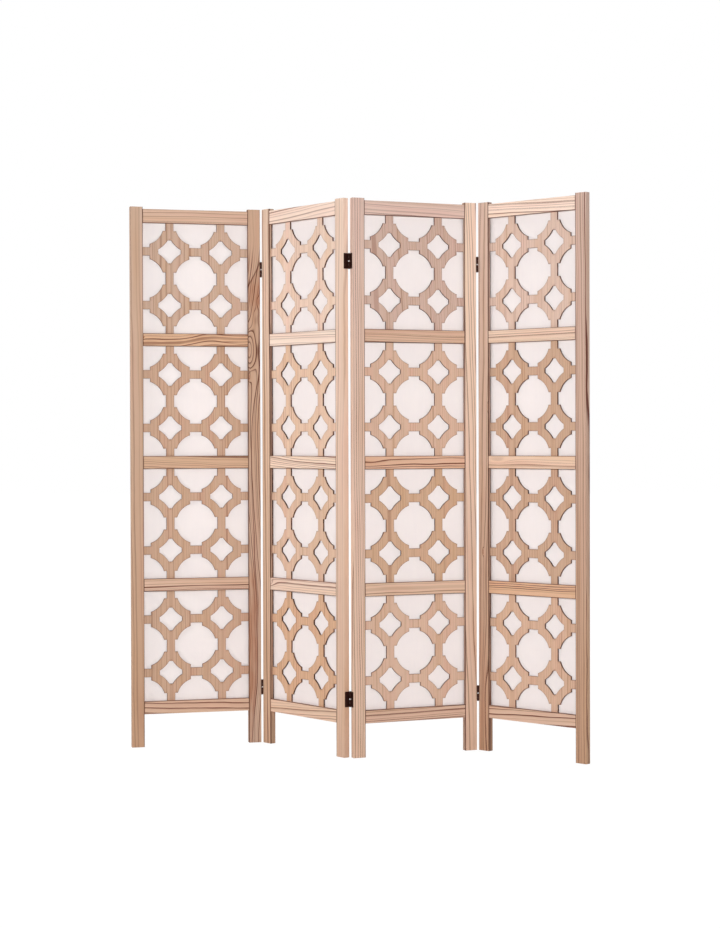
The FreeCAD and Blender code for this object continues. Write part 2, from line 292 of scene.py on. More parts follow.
class Tone(Enum):
    """Colours of bare early wood that a piece may have."""

    MILK = colour(254, 230, 213)
    CREAM = colour(250, 231, 214)
    PALE = colour(248, 223, 202)
    IVORY = colour(242, 215, 196)
    SHELL = colour(236, 209, 187)
    WHEAT = colour(230, 201, 187)
    BLUSH = colour(235, 203, 178)
    SAND = colour(224, 196, 180)
    OAT = colour(228, 196, 171)
    ROSE = colour(230, 189, 162)
    HONEY = colour(221, 187, 164)
    TAN = colour(213, 184, 169)
    FAWN = colour(218, 183, 158)
    AMBER = colour(223, 183, 151)
    CLAY = colour(208, 178, 157)
    RED = colour(213, 177, 148)
    NUT = colour(206, 172, 147)
    BARK = colour(197, 159, 130)


@dataclass(frozen=True)
class Weave:
    """A noise pattern in wood.

    Attributes:
        stretch: Factor on the distance along the grain. A small one draws long streaks.
        scale: Lumps per metre across the grain.
        detail: Number of finer layers.
        rough: Strength of each finer layer.
    """

    stretch: float
    scale: float
    detail: float
    rough: float = 0.5


CURL = Weave(0.3, 42.0, 2.0)
FIBRE = Weave(0.03, 900.0, 2.0, 0.6)
STREAK = Weave(0.04, 150.0, 3.0, 0.6)
MOTTLE = Weave(0.25, 45.0, 3.0)


class Log:
    """A piece's place in its log, as the mesh gives it.

    The mesh carries wood_space (along the grain, across and deep from the log's middle),
    wood_tone (colour of the early wood, which on most stiles is painted lighter towards the top
    for the light from above, and a seed), wood_rings (ring width, contrast and wildness) and
    wood_marks (painted shade of the frame's inner faces and burnt walls of the lattice, painted
    shadow lines on the frame's arrises with dark joint lines and burnt halos on the lattice, and
    end grain).
    """

    def __init__(self, graph: Graph) -> None:
        """Reads the mesh's attributes."""
        self.graph = graph
        self.along, self.across, self.deep = self._read("wood_space")
        self.ring_width, self.contrast, self.wild = self._read("wood_rings")
        self.inner, self.line, self.end = self._read("wood_marks")
        tone = graph.attribute("wood_tone")
        self.early = tone.outputs["Color"]
        self.seed = Value(graph, tone.outputs["Alpha"])

    def _read(self, name: str) -> tuple[Value, Value, Value]:
        """The three components of an attribute."""
        return self.graph.parts(self.graph.attribute(name).outputs["Vector"])

    def weave(self, pattern: Weave, across: Value | None = None) -> Value:
        """A noise pattern at this place.

        Args:
            pattern: The pattern.
            across: Place across, where it isn't the piece's own.

        Returns:
            The noise.
        """
        side = self.across if across is None else across
        place = self.graph.vector(self.along * pattern.stretch, side, self.deep + self.seed)
        return self.graph.noise(place, pattern.scale, pattern.detail, pattern.rough)

    def side(self) -> Value:
        """Distance across from the log's middle, which wanders in a slow and a quicker wave."""
        graph = self.graph
        slow = graph.vector(self.along, self.across * 4.0, self.deep * 2.0 + self.seed)
        drift = graph.noise(slow, 2.2, 1.0) * (self.wild * 0.016 + 0.006)
        sway = graph.noise(slow, 8.0, 2.0) * (self.wild * 0.007 + 0.001)
        return self.across + drift + sway

    def rings(self, side: Value, swirl: Value) -> tuple[Value, Value]:
        """How far a ring has grown, and how dense its late wood is.

        A ring's number is the distance from the log's middle over the ring width, plus what
        the knots add and a slow unevenness. Late wood rises over the second half of a ring and
        stops short at its end. Its strength changes from ring to ring and along each ring.

        Args:
            side: Distance across from the log's middle.
            swirl: Rings that the knots add.

        Returns:
            The growth from 0 to 1, and the density of the late wood.
        """
        graph, seed = self.graph, self.seed
        curl = self.weave(CURL) * (self.wild * 0.0025)
        radius = (side * side + self.deep * self.deep).root() + curl
        count = radius / self.ring_width + swirl
        uneven = graph.noise(graph.vector(count, seed, seed), 0.55, 1.0) * 1.4
        rings = count + uneven + seed
        growth = rings.fraction()
        number = rings.floor()
        strength = graph.chance(number * 1.37 + seed) ** 1.3 * 1.25 + 0.35
        fade = graph.noise(graph.vector(self.along, number * 0.7, seed), 5.0, 1.0) * 0.5 + 1.0
        rise = growth.step(0.5, 0.84) * 0.8 + growth * 0.2
        return growth, rise * (1.0 - growth.step(0.88, 1.0)) * strength * fade

    def knots(self) -> tuple[Value, Value]:
        """Sums over the knots: the rings that they add, and how far they stain the wood.

        Each knot's share is a bell around its middle. The mesh gives wood_knot_0 and so on:
        the distance from the knot along and across, in its own sizes, its rings and its stain.
        """
        rings = stained = 0.0
        for index in range(KNOT_COUNT):
            knot = self.graph.attribute(f"wood_knot_{index}")
            along, across, swirl = self.graph.parts(knot.outputs["Vector"])
            bell = (along * along + across * across).falloff()
            rings = bell * swirl + rings
            stained = bell * Value(self.graph, knot.outputs["Alpha"]) + stained
        return rings, stained

    def seams(self) -> tuple[Value, Value]:
        """Sums over the seams: how dark their lines are, and how far they stain either side.

        A line is a bell across the seam. The stain changes over from one side to the other
        within a few of its widths. The mesh gives wood_seam_0 and so on: the distance from the
        seam in its own widths, its darkness, and the stain on its low and high side.
        """
        dark = stained = 0.0
        for index in range(SEAM_COUNT):
            seam = self.graph.attribute(f"wood_seam_{index}")
            distance, line, low = self.graph.parts(seam.outputs["Vector"])
            high = Value(self.graph, seam.outputs["Alpha"])
            dark = (distance * distance).falloff() * line + dark
            stained = low + (high - low) * distance.step(-1.5, 1.5) + stained
        return dark, stained


@dataclass(frozen=True)
class WoodFinish:
    """Bare softwood with growth rings, pale early wood and darker late wood.

    Attributes:
        name: Name of the material.
        late: Tint of the late wood.
        stain: Tint of stained patches.
        warm: Tint of the warmer bands.
        cool: Tint of the cooler bands.
        shade: Tint of the painted shade on the frame's inner faces and of its painted shadow
            lines, of the lattice's burnt cut walls and halos, and of pores.
        shade_strength: How strongly inner faces are darkened: painted shade on the frame,
            burnt cut walls on the lattice.
        line_strength: How strongly the lines are darkened: painted shadow lines along the frame's
            arrises and dark lines at its joints, burnt halos at the lattice's cut edges.
        grain_depth: Height of the late wood over the early wood.
    """

    name: str
    late: Colour
    stain: Colour
    warm: Colour
    cool: Colour
    shade: Colour
    shade_strength: float
    line_strength: float
    grain_depth: float = 0.12 * MM

    def build(self) -> Material:
        """Makes the material.

        Late wood, seams and streaks darken the early wood. Stains, warm and cool bands and a fine
        unevenness are multiplied onto it, and the marks of the mesh come last: dark end grain, the
        painted shade of the frame's inner faces and its painted shadow lines, and on the lattice
        burnt cut walls and halos.
        """
        graph = Graph(bpy.data.materials.new(self.name))
        log = Log(graph)
        swirl, stained = log.knots()
        seam, sided = log.seams()
        side = log.side()
        growth, late = log.rings(side, swirl)
        fibre, mottle = log.weave(FIBRE), log.weave(MOTTLE)
        streak = log.weave(STREAK, side)

        uneven = (streak * 0.12 + mottle * 0.04) * (log.contrast + 0.4) + fibre * 0.03
        share = late * log.contrast + seam + uneven
        dark = graph.blend(1.0, log.early, self.late, "MULTIPLY")
        wood = graph.blend(share.larger(0.0).smaller(1.0), log.early, dark)
        patch = self.patches(log, stained + sided, growth, mottle, streak)
        wood = graph.blend(patch, wood, self.stain, "MULTIPLY")
        slow = graph.vector(log.along * 0.9, side * 16.0, log.deep + log.seed)
        band = graph.noise(slow, 2.0, 1.5)
        wood = graph.blend(band.step(-0.1, 0.6) * 0.6, wood, self.warm, "MULTIPLY")
        wood = graph.blend((band * -1.0).step(-0.1, 0.6) * 0.6, wood, self.cool, "MULTIPLY")
        level = 1.0 + mottle * 0.05 + fibre * 0.03 + streak * 0.05
        wood = graph.blend(1.0, wood, graph.grey(level), "MULTIPLY")

        pores = (fibre.step(0.1, 0.9) * 0.35 + 0.3) * log.end
        wood = graph.blend(pores, wood, self.shade)
        # The frame's painted shade and painted shadow lines, and the lattice's burnt walls and
        # halos, vary with the streaks.
        wear_and_shade_streaks = 1.0 + streak * 0.3
        wood = graph.blend(log.inner * self.shade_strength * wear_and_shade_streaks, wood, self.shade, "MULTIPLY")
        wood = graph.blend(log.line * self.line_strength * wear_and_shade_streaks, wood, self.shade, "MULTIPLY")
        return graph.surface(
            {
                "Base Color": wood,
                "Roughness": 0.62 + fibre * 0.06 - late * 0.08,
                "Specular IOR Level": 0.25,
                "Normal": graph.bump(fibre * 0.4 + late * 0.6, self.grain_depth, 0.6),
            }
        )

    @staticmethod
    def patches(log: Log, stained: Value, growth: Value, mottle: Value, streak: Value) -> Value:
        """How far the wood is stained: by slow clouds, and around knots and seams.

        Args:
            log: The piece's place in its log.
            stained: Stain of the knots and seams.
            growth: How far the ring has grown.
            mottle: Mottling of the wood.
            streak: Streaks of the wood.

        Returns:
            The share of the stain, up to 1.
        """
        place = log.graph.vector(log.along, log.across * 6.0, log.deep - log.seed)
        cloud = log.graph.noise(place, 3.0, 2.0).step(0.05, 0.7) * (log.wild * 0.6 + 0.15)
        ragged = stained * (1.0 + mottle * 0.6 + streak * 0.5)
        return (cloud + ragged.step(0.1, 0.8) * (growth * 0.5 + 0.6)).smaller(1.0)


@dataclass(frozen=True)
class SheetFinish:
    """Thin white sheet with faint upright streaks and fibres."""

    name: str
    base: Colour
    cool: Colour

    def build(self) -> Material:
        """Makes the material."""
        graph = Graph(bpy.data.materials.new(self.name))
        place = graph.attribute("sheet_space").outputs["Vector"]
        across, up, seed = graph.parts(place)
        streak = graph.noise(graph.vector(across, up * 0.12, seed), 120.0, 2.0)
        cloud = graph.noise(graph.vector(across, up, seed), 14.0, 2.0)
        fibre = graph.noise(graph.vector(across, up, seed), 1400.0, 2.0, 0.7)
        share = (streak * 0.25 + cloud * 0.35 + fibre * 0.15 + 0.4).larger(0.0).smaller(1.0)
        tint = graph.blend(share, self.base, self.cool)
        return graph.surface(
            {
                "Base Color": tint,
                "Roughness": 0.82 + fibre * 0.05,
                "Specular IOR Level": 0.2,
                "Subsurface Weight": 0.35,
                "Subsurface Radius": (1.0, 0.9, 0.84),
                "Subsurface Scale": 0.005,
                "Normal": graph.bump(fibre * 0.5 + streak * 0.5, 0.0001, 0.5),
            }
        )


@dataclass(frozen=True)
class MetalFinish:
    """Plated metal with patches of wear, fine grit and a varying gloss."""

    name: str
    base: Colour
    wear_and_shade_streaks: Colour
    metallic: float
    roughness: float

    def build(self) -> Material:
        """Makes the material."""
        graph = Graph(bpy.data.materials.new(self.name))
        place = graph.node("ShaderNodeTexCoord").outputs["Object"]
        patch = graph.noise(place, 180.0, 3.0, 0.6)
        grit = graph.noise(place, 2600.0, 2.0, 0.6)
        share = (patch * 0.9 + grit * 0.3).step(0.0, 0.8)
        tint = graph.blend(share * 0.8, self.base, self.wear_and_shade_streaks)
        return graph.surface(
            {
                "Base Color": tint,
                "Metallic": self.metallic,
                "Roughness": self.roughness + patch * 0.12,
                "Normal": graph.bump(grit, 0.00003, 0.5),
            }
        )


# Meshes


class Mark(IntEnum):
    """Numbers of the three marks that every point of a wooden piece carries."""

    # INNER_FACE carries painted shade on the frame and burnt cut walls on the lattice; LINE carries
    # painted shadow lines along the frame's arrises and dark joint lines, and burnt halos on the
    # lattice.
    INNER_FACE = 0
    LINE = 1
    END_GRAIN = 2


def write_attribute(mesh: Mesh, name: str, parts: tuple) -> None:
    """Writes values onto a mesh's points, as a vector of three parts or a colour of four.

    Args:
        mesh: The mesh.
        name: Name of the attribute.
        parts: Its parts, each one number or an array with one number per point.
    """
    kind, key = {3: ("FLOAT_VECTOR", "vector"), 4: ("FLOAT_COLOR", "color")}[len(parts)]
    values = np.stack([np.broadcast_to(part, len(mesh.vertices)) for part in parts], axis=-1)
    mesh.attributes.new(name, kind, "POINT").data.foreach_set(key, values.ravel())


class Skin:
    """Collects grids of points into one closed mesh with three marks at every point."""

    weld_distance = 0.004 * MM
    sharp_angle = math.radians(28)

    def __init__(self) -> None:
        """Starts empty."""
        self.points: list[np.ndarray] = []
        self.marks: list[np.ndarray] = []
        self.faces: list[list[int]] = []
        self.total = 0

    def grid(
        self, points: np.ndarray, marks: np.ndarray, keep: np.ndarray | None = None
    ) -> np.ndarray:
        """Adds a grid whose columns close into a ring.

        Args:
            points: Places, as rows by columns by 3.
            marks: Marks, as rows by columns by 3.
            keep: Which spans between two columns get faces, one flag per column.

        Returns:
            The numbers of the points, as rows by columns.
        """
        rows, columns = points.shape[:2]
        numbers = self.total + np.arange(rows * columns).reshape(rows, columns)
        after = np.roll(numbers, -1, axis=1)
        quads = np.stack((numbers[:-1], numbers[1:], after[1:], after[:-1]), axis=-1)
        if keep is not None:
            quads = quads[:, keep]
        self.points.append(points.reshape(-1, 3))
        self.marks.append(marks.reshape(-1, 3))
        self.faces += quads.reshape(-1, 4).tolist()
        self.total += rows * columns
        return numbers

    def cap(self, numbers: np.ndarray) -> None:
        """Closes a ring of points with one flat face."""
        self.faces.append(numbers.tolist())

    def mesh(self, name: str) -> tuple[Mesh, np.ndarray]:
        """Merges doubles, drops faces without area and turns every face outwards.

        Args:
            name: Name of the mesh.

        Returns:
            The mesh, and the places of its points in the panel.
        """
        mesh = bpy.data.meshes.new(name)
        mesh.from_pydata(np.concatenate(self.points), [], self.faces)
        write_attribute(mesh, "wood_marks", tuple(np.concatenate(self.marks).T))
        shape = bmesh.new()
        shape.from_mesh(mesh)
        bmesh.ops.remove_doubles(shape, verts=shape.verts, dist=self.weld_distance)
        bmesh.ops.dissolve_degenerate(shape, edges=shape.edges, dist=self.weld_distance)
        bmesh.ops.recalc_face_normals(shape, faces=shape.faces)
        shape.to_mesh(mesh)
        shape.free()
        mesh.shade_smooth()
        mesh.set_sharp_from_angle(angle=self.sharp_angle)
        places = np.zeros(len(mesh.vertices) * 3)
        mesh.vertices.foreach_get("co", places)
        return mesh, places.reshape(-1, 3)


class Cut(Enum):
    """How a piece was sawn, by the place of the log's middle from the piece's own middle."""

    QUARTER = (0.085, 0.012)
    RIFT = (0.060, 0.055)


@dataclass(frozen=True)
class Knot:
    """A knot that the rings bend around.

    Attributes:
        place: Its middle along and across the piece.
        size: How far it spreads along and across.
        rings: How many rings it adds at its middle.
        stain: How far it stains the wood at its middle.
    """

    place: tuple[float, float] = (0.0, FAR_OFF)
    size: tuple[float, float] = (1.0, 1.0)
    rings: float = 0.0
    stain: float = 0.0


@dataclass(frozen=True)
class Seam:
    """A dark line that wanders along a piece, with the wood on either side stained.

    Attributes:
        path: Rows of place along, place across, darkness, stain on the low side and stain on
            the high side, from the foot or the left end.
        width: Width of the line.
        soft: Length over which the path is smoothed.
        follow: Share of its path that the rings follow.
    """

    path: tuple[tuple[float, ...], ...] = ((0.0, FAR_OFF, 0.0, 0.0, 0.0),)
    width: float = 1.0 * MM
    soft: float = 30.0 * MM
    follow: float = 0.0

    def read(self, along: np.ndarray) -> np.ndarray:
        """The path's columns at some places along: the mean of seven readings of its straight
        runs, spread over the smoothing length.
        """
        rows = np.array(self.path)
        places = along[:, None] + np.linspace(-0.5, 0.5, 7) * self.soft
        columns = rows[:, 1:].T
        return np.stack([np.interp(places, rows[:, 0], column).mean(1) for column in columns])


@dataclass(frozen=True)
class Grain:
    """Where a piece lay in its log, and its tone.

    Attributes:
        tone: Colour of the early wood at the start, which is the foot or the left end.
        cut: How it was sawn.
        lean: How far the log's middle drifts across and deep, per metre along.
        ring: Width of a ring.
        contrast: How dark the late wood is, from 0 to 1.
        wild: How much the rings curl, from 0 to 1.
        knots: Knots and stains in the piece.
        far: Colour of the early wood at the other end, where it differs. On most stiles it is
        lighter, painting in the light that falls from above.
        seams: Dark lines that wander along the piece.
        calm: From where to where along the piece the late wood fades away.
    """

    tone: Tone = Tone.TAN
    cut: Cut = Cut.QUARTER
    lean: tuple[float, float] = (0.004, 0.0)
    ring: float = 8.5 * MM
    contrast: float = 0.5
    wild: float = 0.1
    knots: tuple[Knot, ...] = ()
    far: Tone | None = None
    seams: tuple[Seam, ...] = ()
    calm: tuple[float, float] = (9.0, 9.1)

    def dress(
        self, mesh: Mesh, along: np.ndarray, across: np.ndarray, deep: np.ndarray, seed: int
    ) -> None:
        """Writes the log coordinates, the rings, the tone, the knots and the seams onto a mesh.

        The log coordinates are the place in the piece, shifted by the log's middle and its lean.

        Args:
            mesh: The mesh.
            along: Distance of each point along the grain.
            across: Distance across from the piece's middle.
            deep: Depth from the front.
            seed: Number of the piece, which sets its stretch of the log.
        """
        middle_across, middle_deep = self.cut.value
        knots = self.knots + (Knot(),) * (KNOT_COUNT - len(self.knots))
        seams = self.seams + (Seam(),) * (SEAM_COUNT - len(self.seams))
        readings = [seam.read(along) for seam in seams]
        bend = sum(seam.follow * reading[0] for seam, reading in zip(seams, readings))
        calm_from, calm_to = self.calm
        calm = np.clip((along - calm_from) / (calm_to - calm_from), 0.0, 1.0)
        # The tone runs from the foot to the other end; on most stiles the top is lighter, painted
        # light from above.
        share = (along - along.min()) / np.ptp(along)
        near, far = (tone.value[:3] for tone in (self.tone, self.far or self.tone))
        tone = [low * (1 - share) + high * share for low, high in zip(near, far)]
        write_attribute(
            mesh,
            "wood_space",
            (
                along + LOG_STRETCH * seed,
                across + middle_across + self.lean[0] * along - bend,
                deep + middle_deep + self.lean[1] * along,
            ),
        )
        contrast = self.contrast * (1.0 - CALM_STRENGTH * calm)
        write_attribute(mesh, "wood_rings", (self.ring, contrast, self.wild))
        write_attribute(mesh, "wood_tone", (*tone, LOG_SEED * seed))
        for index, knot in enumerate(knots):
            beside = (along - knot.place[0]) / knot.size[0], (across - knot.place[1]) / knot.size[1]
            write_attribute(mesh, f"wood_knot_{index}", (*beside, knot.rings, knot.stain))
        for index, (seam, (path, *marks)) in enumerate(zip(seams, readings)):
            write_attribute(mesh, f"wood_seam_{index}", ((across - path) / seam.width, *marks))


@dataclass(frozen=True)
class PanelPlace:
    """Where one panel stands: its front left corner at the floor and its directions."""

    number: int
    corner: np.ndarray
    along: np.ndarray
    back: np.ndarray

    @classmethod
    def read(cls, number: int, stile_width: float, thickness: float) -> "PanelPlace":
        """Works out a panel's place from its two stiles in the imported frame.

        Args:
            number: Number of the panel, from 1.
            stile_width: Width of a stile.
            thickness: Thickness of the frame.

        Returns:
            The place.
        """
        left = sum(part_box(f"panel_{number}_left_stile"), Vector()) / 2
        right = sum(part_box(f"panel_{number}_right_stile"), Vector()) / 2
        along = np.array(((right - left) * Vector((1, 1, 0))).normalized())
        back = np.array((-along[1], along[0], 0.0))
        middle = np.array((left.x, left.y, 0.0))
        corner = middle - along * stile_width / 2 - back * thickness / 2
        return cls(number, corner, along, back)

    def world(self, local: np.ndarray) -> np.ndarray:
        """Places inside the panel, carried to the row frame."""
        flat = local[..., 0:1] * self.along + local[..., 1:2] * self.back
        return self.corner + flat + local[..., 2:3] * np.array((0.0, 0.0, 1.0))

    @property
    def body(self) -> str:
        """Name of the body that the panel's pieces ride on."""
        return f"panel_{self.number}"


def stand(
    mesh: Mesh, places: np.ndarray, panel: PanelPlace, material: Material
) -> Piece:
    """Carries a mesh to its panel's place, gives it its material and puts it on its body.

    Args:
        mesh: The mesh, in the panel's own coordinates.
        places: The places of its points in the panel.
        panel: Where the panel stands.
        material: The finish.

    Returns:
        The new object.
    """
    mesh.vertices.foreach_set("co", panel.world(places).ravel())
    mesh.materials.append(material)
    mesh.update()
    piece = bpy.data.objects.new(mesh.name, mesh)
    bpy.context.scene.collection.objects.link(piece)
    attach(piece, panel.body)
    return piece


def refine(stations: np.ndarray, step: float) -> np.ndarray:
    """Adds even rows between stations that are further apart than a step.

    Args:
        stations: Rows whose first number is the distance along.
        step: Rough distance between the new rows.

    Returns:
        All rows.
    """
    rows = []
    for low, high in zip(stations[:-1], stations[1:]):
        count = max(1, round((high[0] - low[0]) / step))
        rows.append(np.linspace(low, high, count, endpoint=False))
    return np.concatenate((*rows, stations[-1:]))


@dataclass(frozen=True)
class FrameWood:
    """Sizes of the frame's wood and the way a length of it is shaped."""

    panel_width: float = 440.0 * MM
    stile_width: float = 42.0 * MM
    thickness: float = 20.0 * MM
    rail_setback: float = 0.5 * MM
    edge_round: float = 0.9 * MM
    end_ease: float = 0.4 * MM
    groove_setback: float = 9.0 * MM
    groove_width: float = 5.7 * MM
    groove_depth: float = 7.0 * MM
    # line_width and line_depth: how far the painted shadow line at a cell-facing arris reaches over
    # the front face and down the side; joint_width: length of the dark line at each rail end.
    line_width: float = 1.2 * MM
    line_depth: float = 4.2 * MM
    joint_width: float = 1.2 * MM
    station_step: float = 12.0 * MM
    arc_steps: int = 4

    def side(self, low: float, high: float, grooved: bool) -> tuple[np.ndarray, np.ndarray]:
        """Half of a section: from the front face, round the arris, down the side to the back.

        The corner points lie on quarter circles of the edge radius. The side is at 0 across.
        A point's last number says whether the groove's floor carries it inwards.

        Args:
            low: Depth of the front face.
            high: Depth of the back face.
            grooved: Whether the side has a groove.

        Returns:
            Points as across, depth and floor, and their marks as inner face, line and end grain.
        """
        radius = self.edge_round
        turn = np.linspace(0, math.pi / 2, self.arc_steps + 1)
        arc = np.stack((radius - radius * np.sin(turn), radius - radius * np.cos(turn)), axis=-1)
        front = np.column_stack((arc[:, 0], low + arc[:, 1]))
        rear = np.column_stack((arc[::-1, 0], high - arc[::-1, 1]))
        lead = np.array([(radius + self.line_width, low)])
        below = np.array([(0.0, low + radius + self.line_depth)])
        tail = np.array([(radius + self.line_width, high)])
        walls = self.groove_setback + np.array((0.0, 0.0, self.groove_width, self.groove_width))
        groove = np.column_stack((np.zeros(4), walls))
        points = np.concatenate((lead, front, below, groove, rear, tail))
        floor = np.zeros(len(points))
        if grooved:
            start = len(lead) + len(front) + len(below)
            floor[start + 1 : start + 3] = 1.0
        # Cell-facing sides carry painted shade on their arris, side and groove faces, and a painted
        # shadow line on the front arris that fades out at the lead and below points.
        marks = np.zeros((len(points), len(Mark)))
        marks[2:-2, Mark.INNER_FACE] = 1.0
        marks[1 : 1 + len(front), Mark.LINE] = 1.0
        return np.column_stack((points, floor)), marks

    def section(
        self, width: float, depths: tuple[float, float], facing: tuple[bool, bool]
    ) -> tuple[np.ndarray, np.ndarray]:
        """A whole section, as two sides facing each other.

        Args:
            width: Width across.
            depths: Depths of the front and back faces.
            facing: Whether the low and the high side face a cell, and so are grooved and marked.

        Returns:
            Points as across, depth and the floor's direction, and their marks.
        """
        low_points, low_marks = self.side(*depths, facing[0])
        high_points, high_marks = self.side(*depths, facing[1])
        high_points = high_points[::-1].copy()
        high_points[:, 0] = width - high_points[:, 0]
        high_points[:, 2] *= -1.0
        marks = np.concatenate((low_marks * facing[0], high_marks[::-1] * facing[1]))
        return np.concatenate((low_points, high_points)), marks

    def length(
        self,
        name: str,
        section: tuple[np.ndarray, np.ndarray],
        stations: np.ndarray,
        order: tuple[int, int, int],
        offsets: tuple[float, float],
    ) -> tuple[Mesh, np.ndarray]:
        """Carries a section along a straight path.

        Args:
            name: Name of the mesh.
            section: Points and marks of the section.
            stations: Rows of distance, groove share, inset and joint line, from end to end.
            order: Which of along, across and depth go to x, y and z.
            offsets: Where along and across start in the panel.

        Returns:
            The mesh, and the places of its points in the panel.
        """
        points, marks = section
        stations = refine(stations, self.station_step)
        middle = (points[:, :2].max(0) + points[:, :2].min(0)) / 2
        half = (points[:, :2].max(0) - points[:, :2].min(0)) / 2
        distance, share, inset, joint = (column[:, None] for column in stations.T)
        across = points[None, :, 0] + points[None, :, 2] * self.groove_depth * share
        across = middle[0] + (across - middle[0]) * (1 - inset / half[0]) + offsets[1]
        depth = middle[1] + (points[None, :, 1] - middle[1]) * (1 - inset / half[1])
        along = np.broadcast_to(distance + offsets[0], across.shape)
        stacked = np.stack((along, across, depth), axis=-1)[..., order]
        marked = np.repeat(marks[None], len(stations), axis=0)
        marked[..., Mark.LINE] = np.maximum(marked[..., Mark.LINE], joint)
        marked[[0, -1], :, Mark.END_GRAIN] = 1.0
        skin = Skin()
        numbers = skin.grid(stacked, marked)
        skin.cap(numbers[0])
        skin.cap(numbers[-1][::-1])
        return skin.mesh(name)


@dataclass(frozen=True)
class Cell:
    """One cell of a panel, between two rails."""

    index: int
    lower: str
    upper: str
    bottom: float
    top: float

    @classmethod
    def read(cls, panel_number: int, index: int) -> "Cell":
        """Works out a cell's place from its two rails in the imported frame."""
        names = RAIL_NAMES[index : index + 2]
        lower, upper = (f"panel_{panel_number}_{name}_rail" for name in names)
        return cls(index, lower, upper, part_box(lower)[1].z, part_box(upper)[0].z)


@dataclass
class Stile:
    """An upright of a panel, with a stopped groove beside each cell."""

    panel: PanelPlace
    side: str
    grain: Grain
    wood: FrameWood
    seed: int = 0

    @property
    def node(self) -> str:
        """Name of the plain stile."""
        return f"panel_{self.panel.number}_{self.side}_stile"

    def stations(self) -> np.ndarray:
        """Rows of distance, groove share, inset and joint line, with grooves beside the cells."""
        bottom, top = (corner.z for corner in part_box(self.node))
        ease = self.wood.end_ease
        rows = [(bottom, 0, ease, 0), (bottom + ease, 0, 0, 0)]
        for index in range(len(RAIL_NAMES) - 1):
            cell = Cell.read(self.panel.number, index)
            start, end = cell.bottom - self.wood.groove_depth, cell.top + self.wood.groove_depth
            rows += [(start, 0, 0, 0), (start, 1, 0, 0), (end, 1, 0, 0), (end, 0, 0, 0)]
        rows += [(top - ease, 0, 0, 0), (top, 0, ease, 0)]
        return np.array(rows)

    def build(self, material: Material) -> Piece:
        """Makes the stile and puts it in place of the plain one."""
        left = self.side == "left"
        node = self.node
        facing = (not left, left)
        section = self.wood.section(self.wood.stile_width, (0.0, self.wood.thickness), facing)
        start = 0.0 if left else self.wood.panel_width - self.wood.stile_width
        stations, offsets = self.stations(), (0.0, start)
        mesh, places = self.wood.length(f"{node}_wood", section, stations, (1, 2, 0), offsets)
        across = places[:, 0] - start - self.wood.stile_width / 2
        self.grain.dress(mesh, places[:, 2], across, places[:, 1], self.seed)
        piece = stand(mesh, places, self.panel, material)
        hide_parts(node)
        return piece


@dataclass
class Rail:
    """A cross rail between the stiles, grooved along its whole length towards its cells."""

    panel: PanelPlace
    level: int
    grain: Grain
    wood: FrameWood
    seed: int = 0

    def build(self, material: Material) -> Piece:
        """Makes the rail and puts it in place of the plain one."""
        node = f"panel_{self.panel.number}_{RAIL_NAMES[self.level]}_rail"
        low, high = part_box(node)
        below = self.level > 0
        above = self.level < len(RAIL_NAMES) - 1
        depths = (self.wood.rail_setback, self.wood.thickness - self.wood.rail_setback)
        section = self.wood.section(high.z - low.z, depths, (below, above))
        run = self.wood.panel_width - 2 * self.wood.stile_width
        ease, joint = self.wood.end_ease, self.wood.joint_width
        rows = [(0, 1, ease, 1), (ease, 1, 0, 1), (ease + joint, 1, 0, 0)]
        rows += [(run - far, share, inset, line) for far, share, inset, line in rows[::-1]]
        stations, offsets = np.array(rows), (self.wood.stile_width, low.z)
        mesh, places = self.wood.length(f"{node}_wood", section, stations, (0, 2, 1), offsets)
        across = places[:, 2] - (low.z + high.z) / 2
        self.grain.dress(mesh, places[:, 0], across, places[:, 1], self.seed)
        piece = stand(mesh, places, self.panel, material)
        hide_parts(node)
        return piece


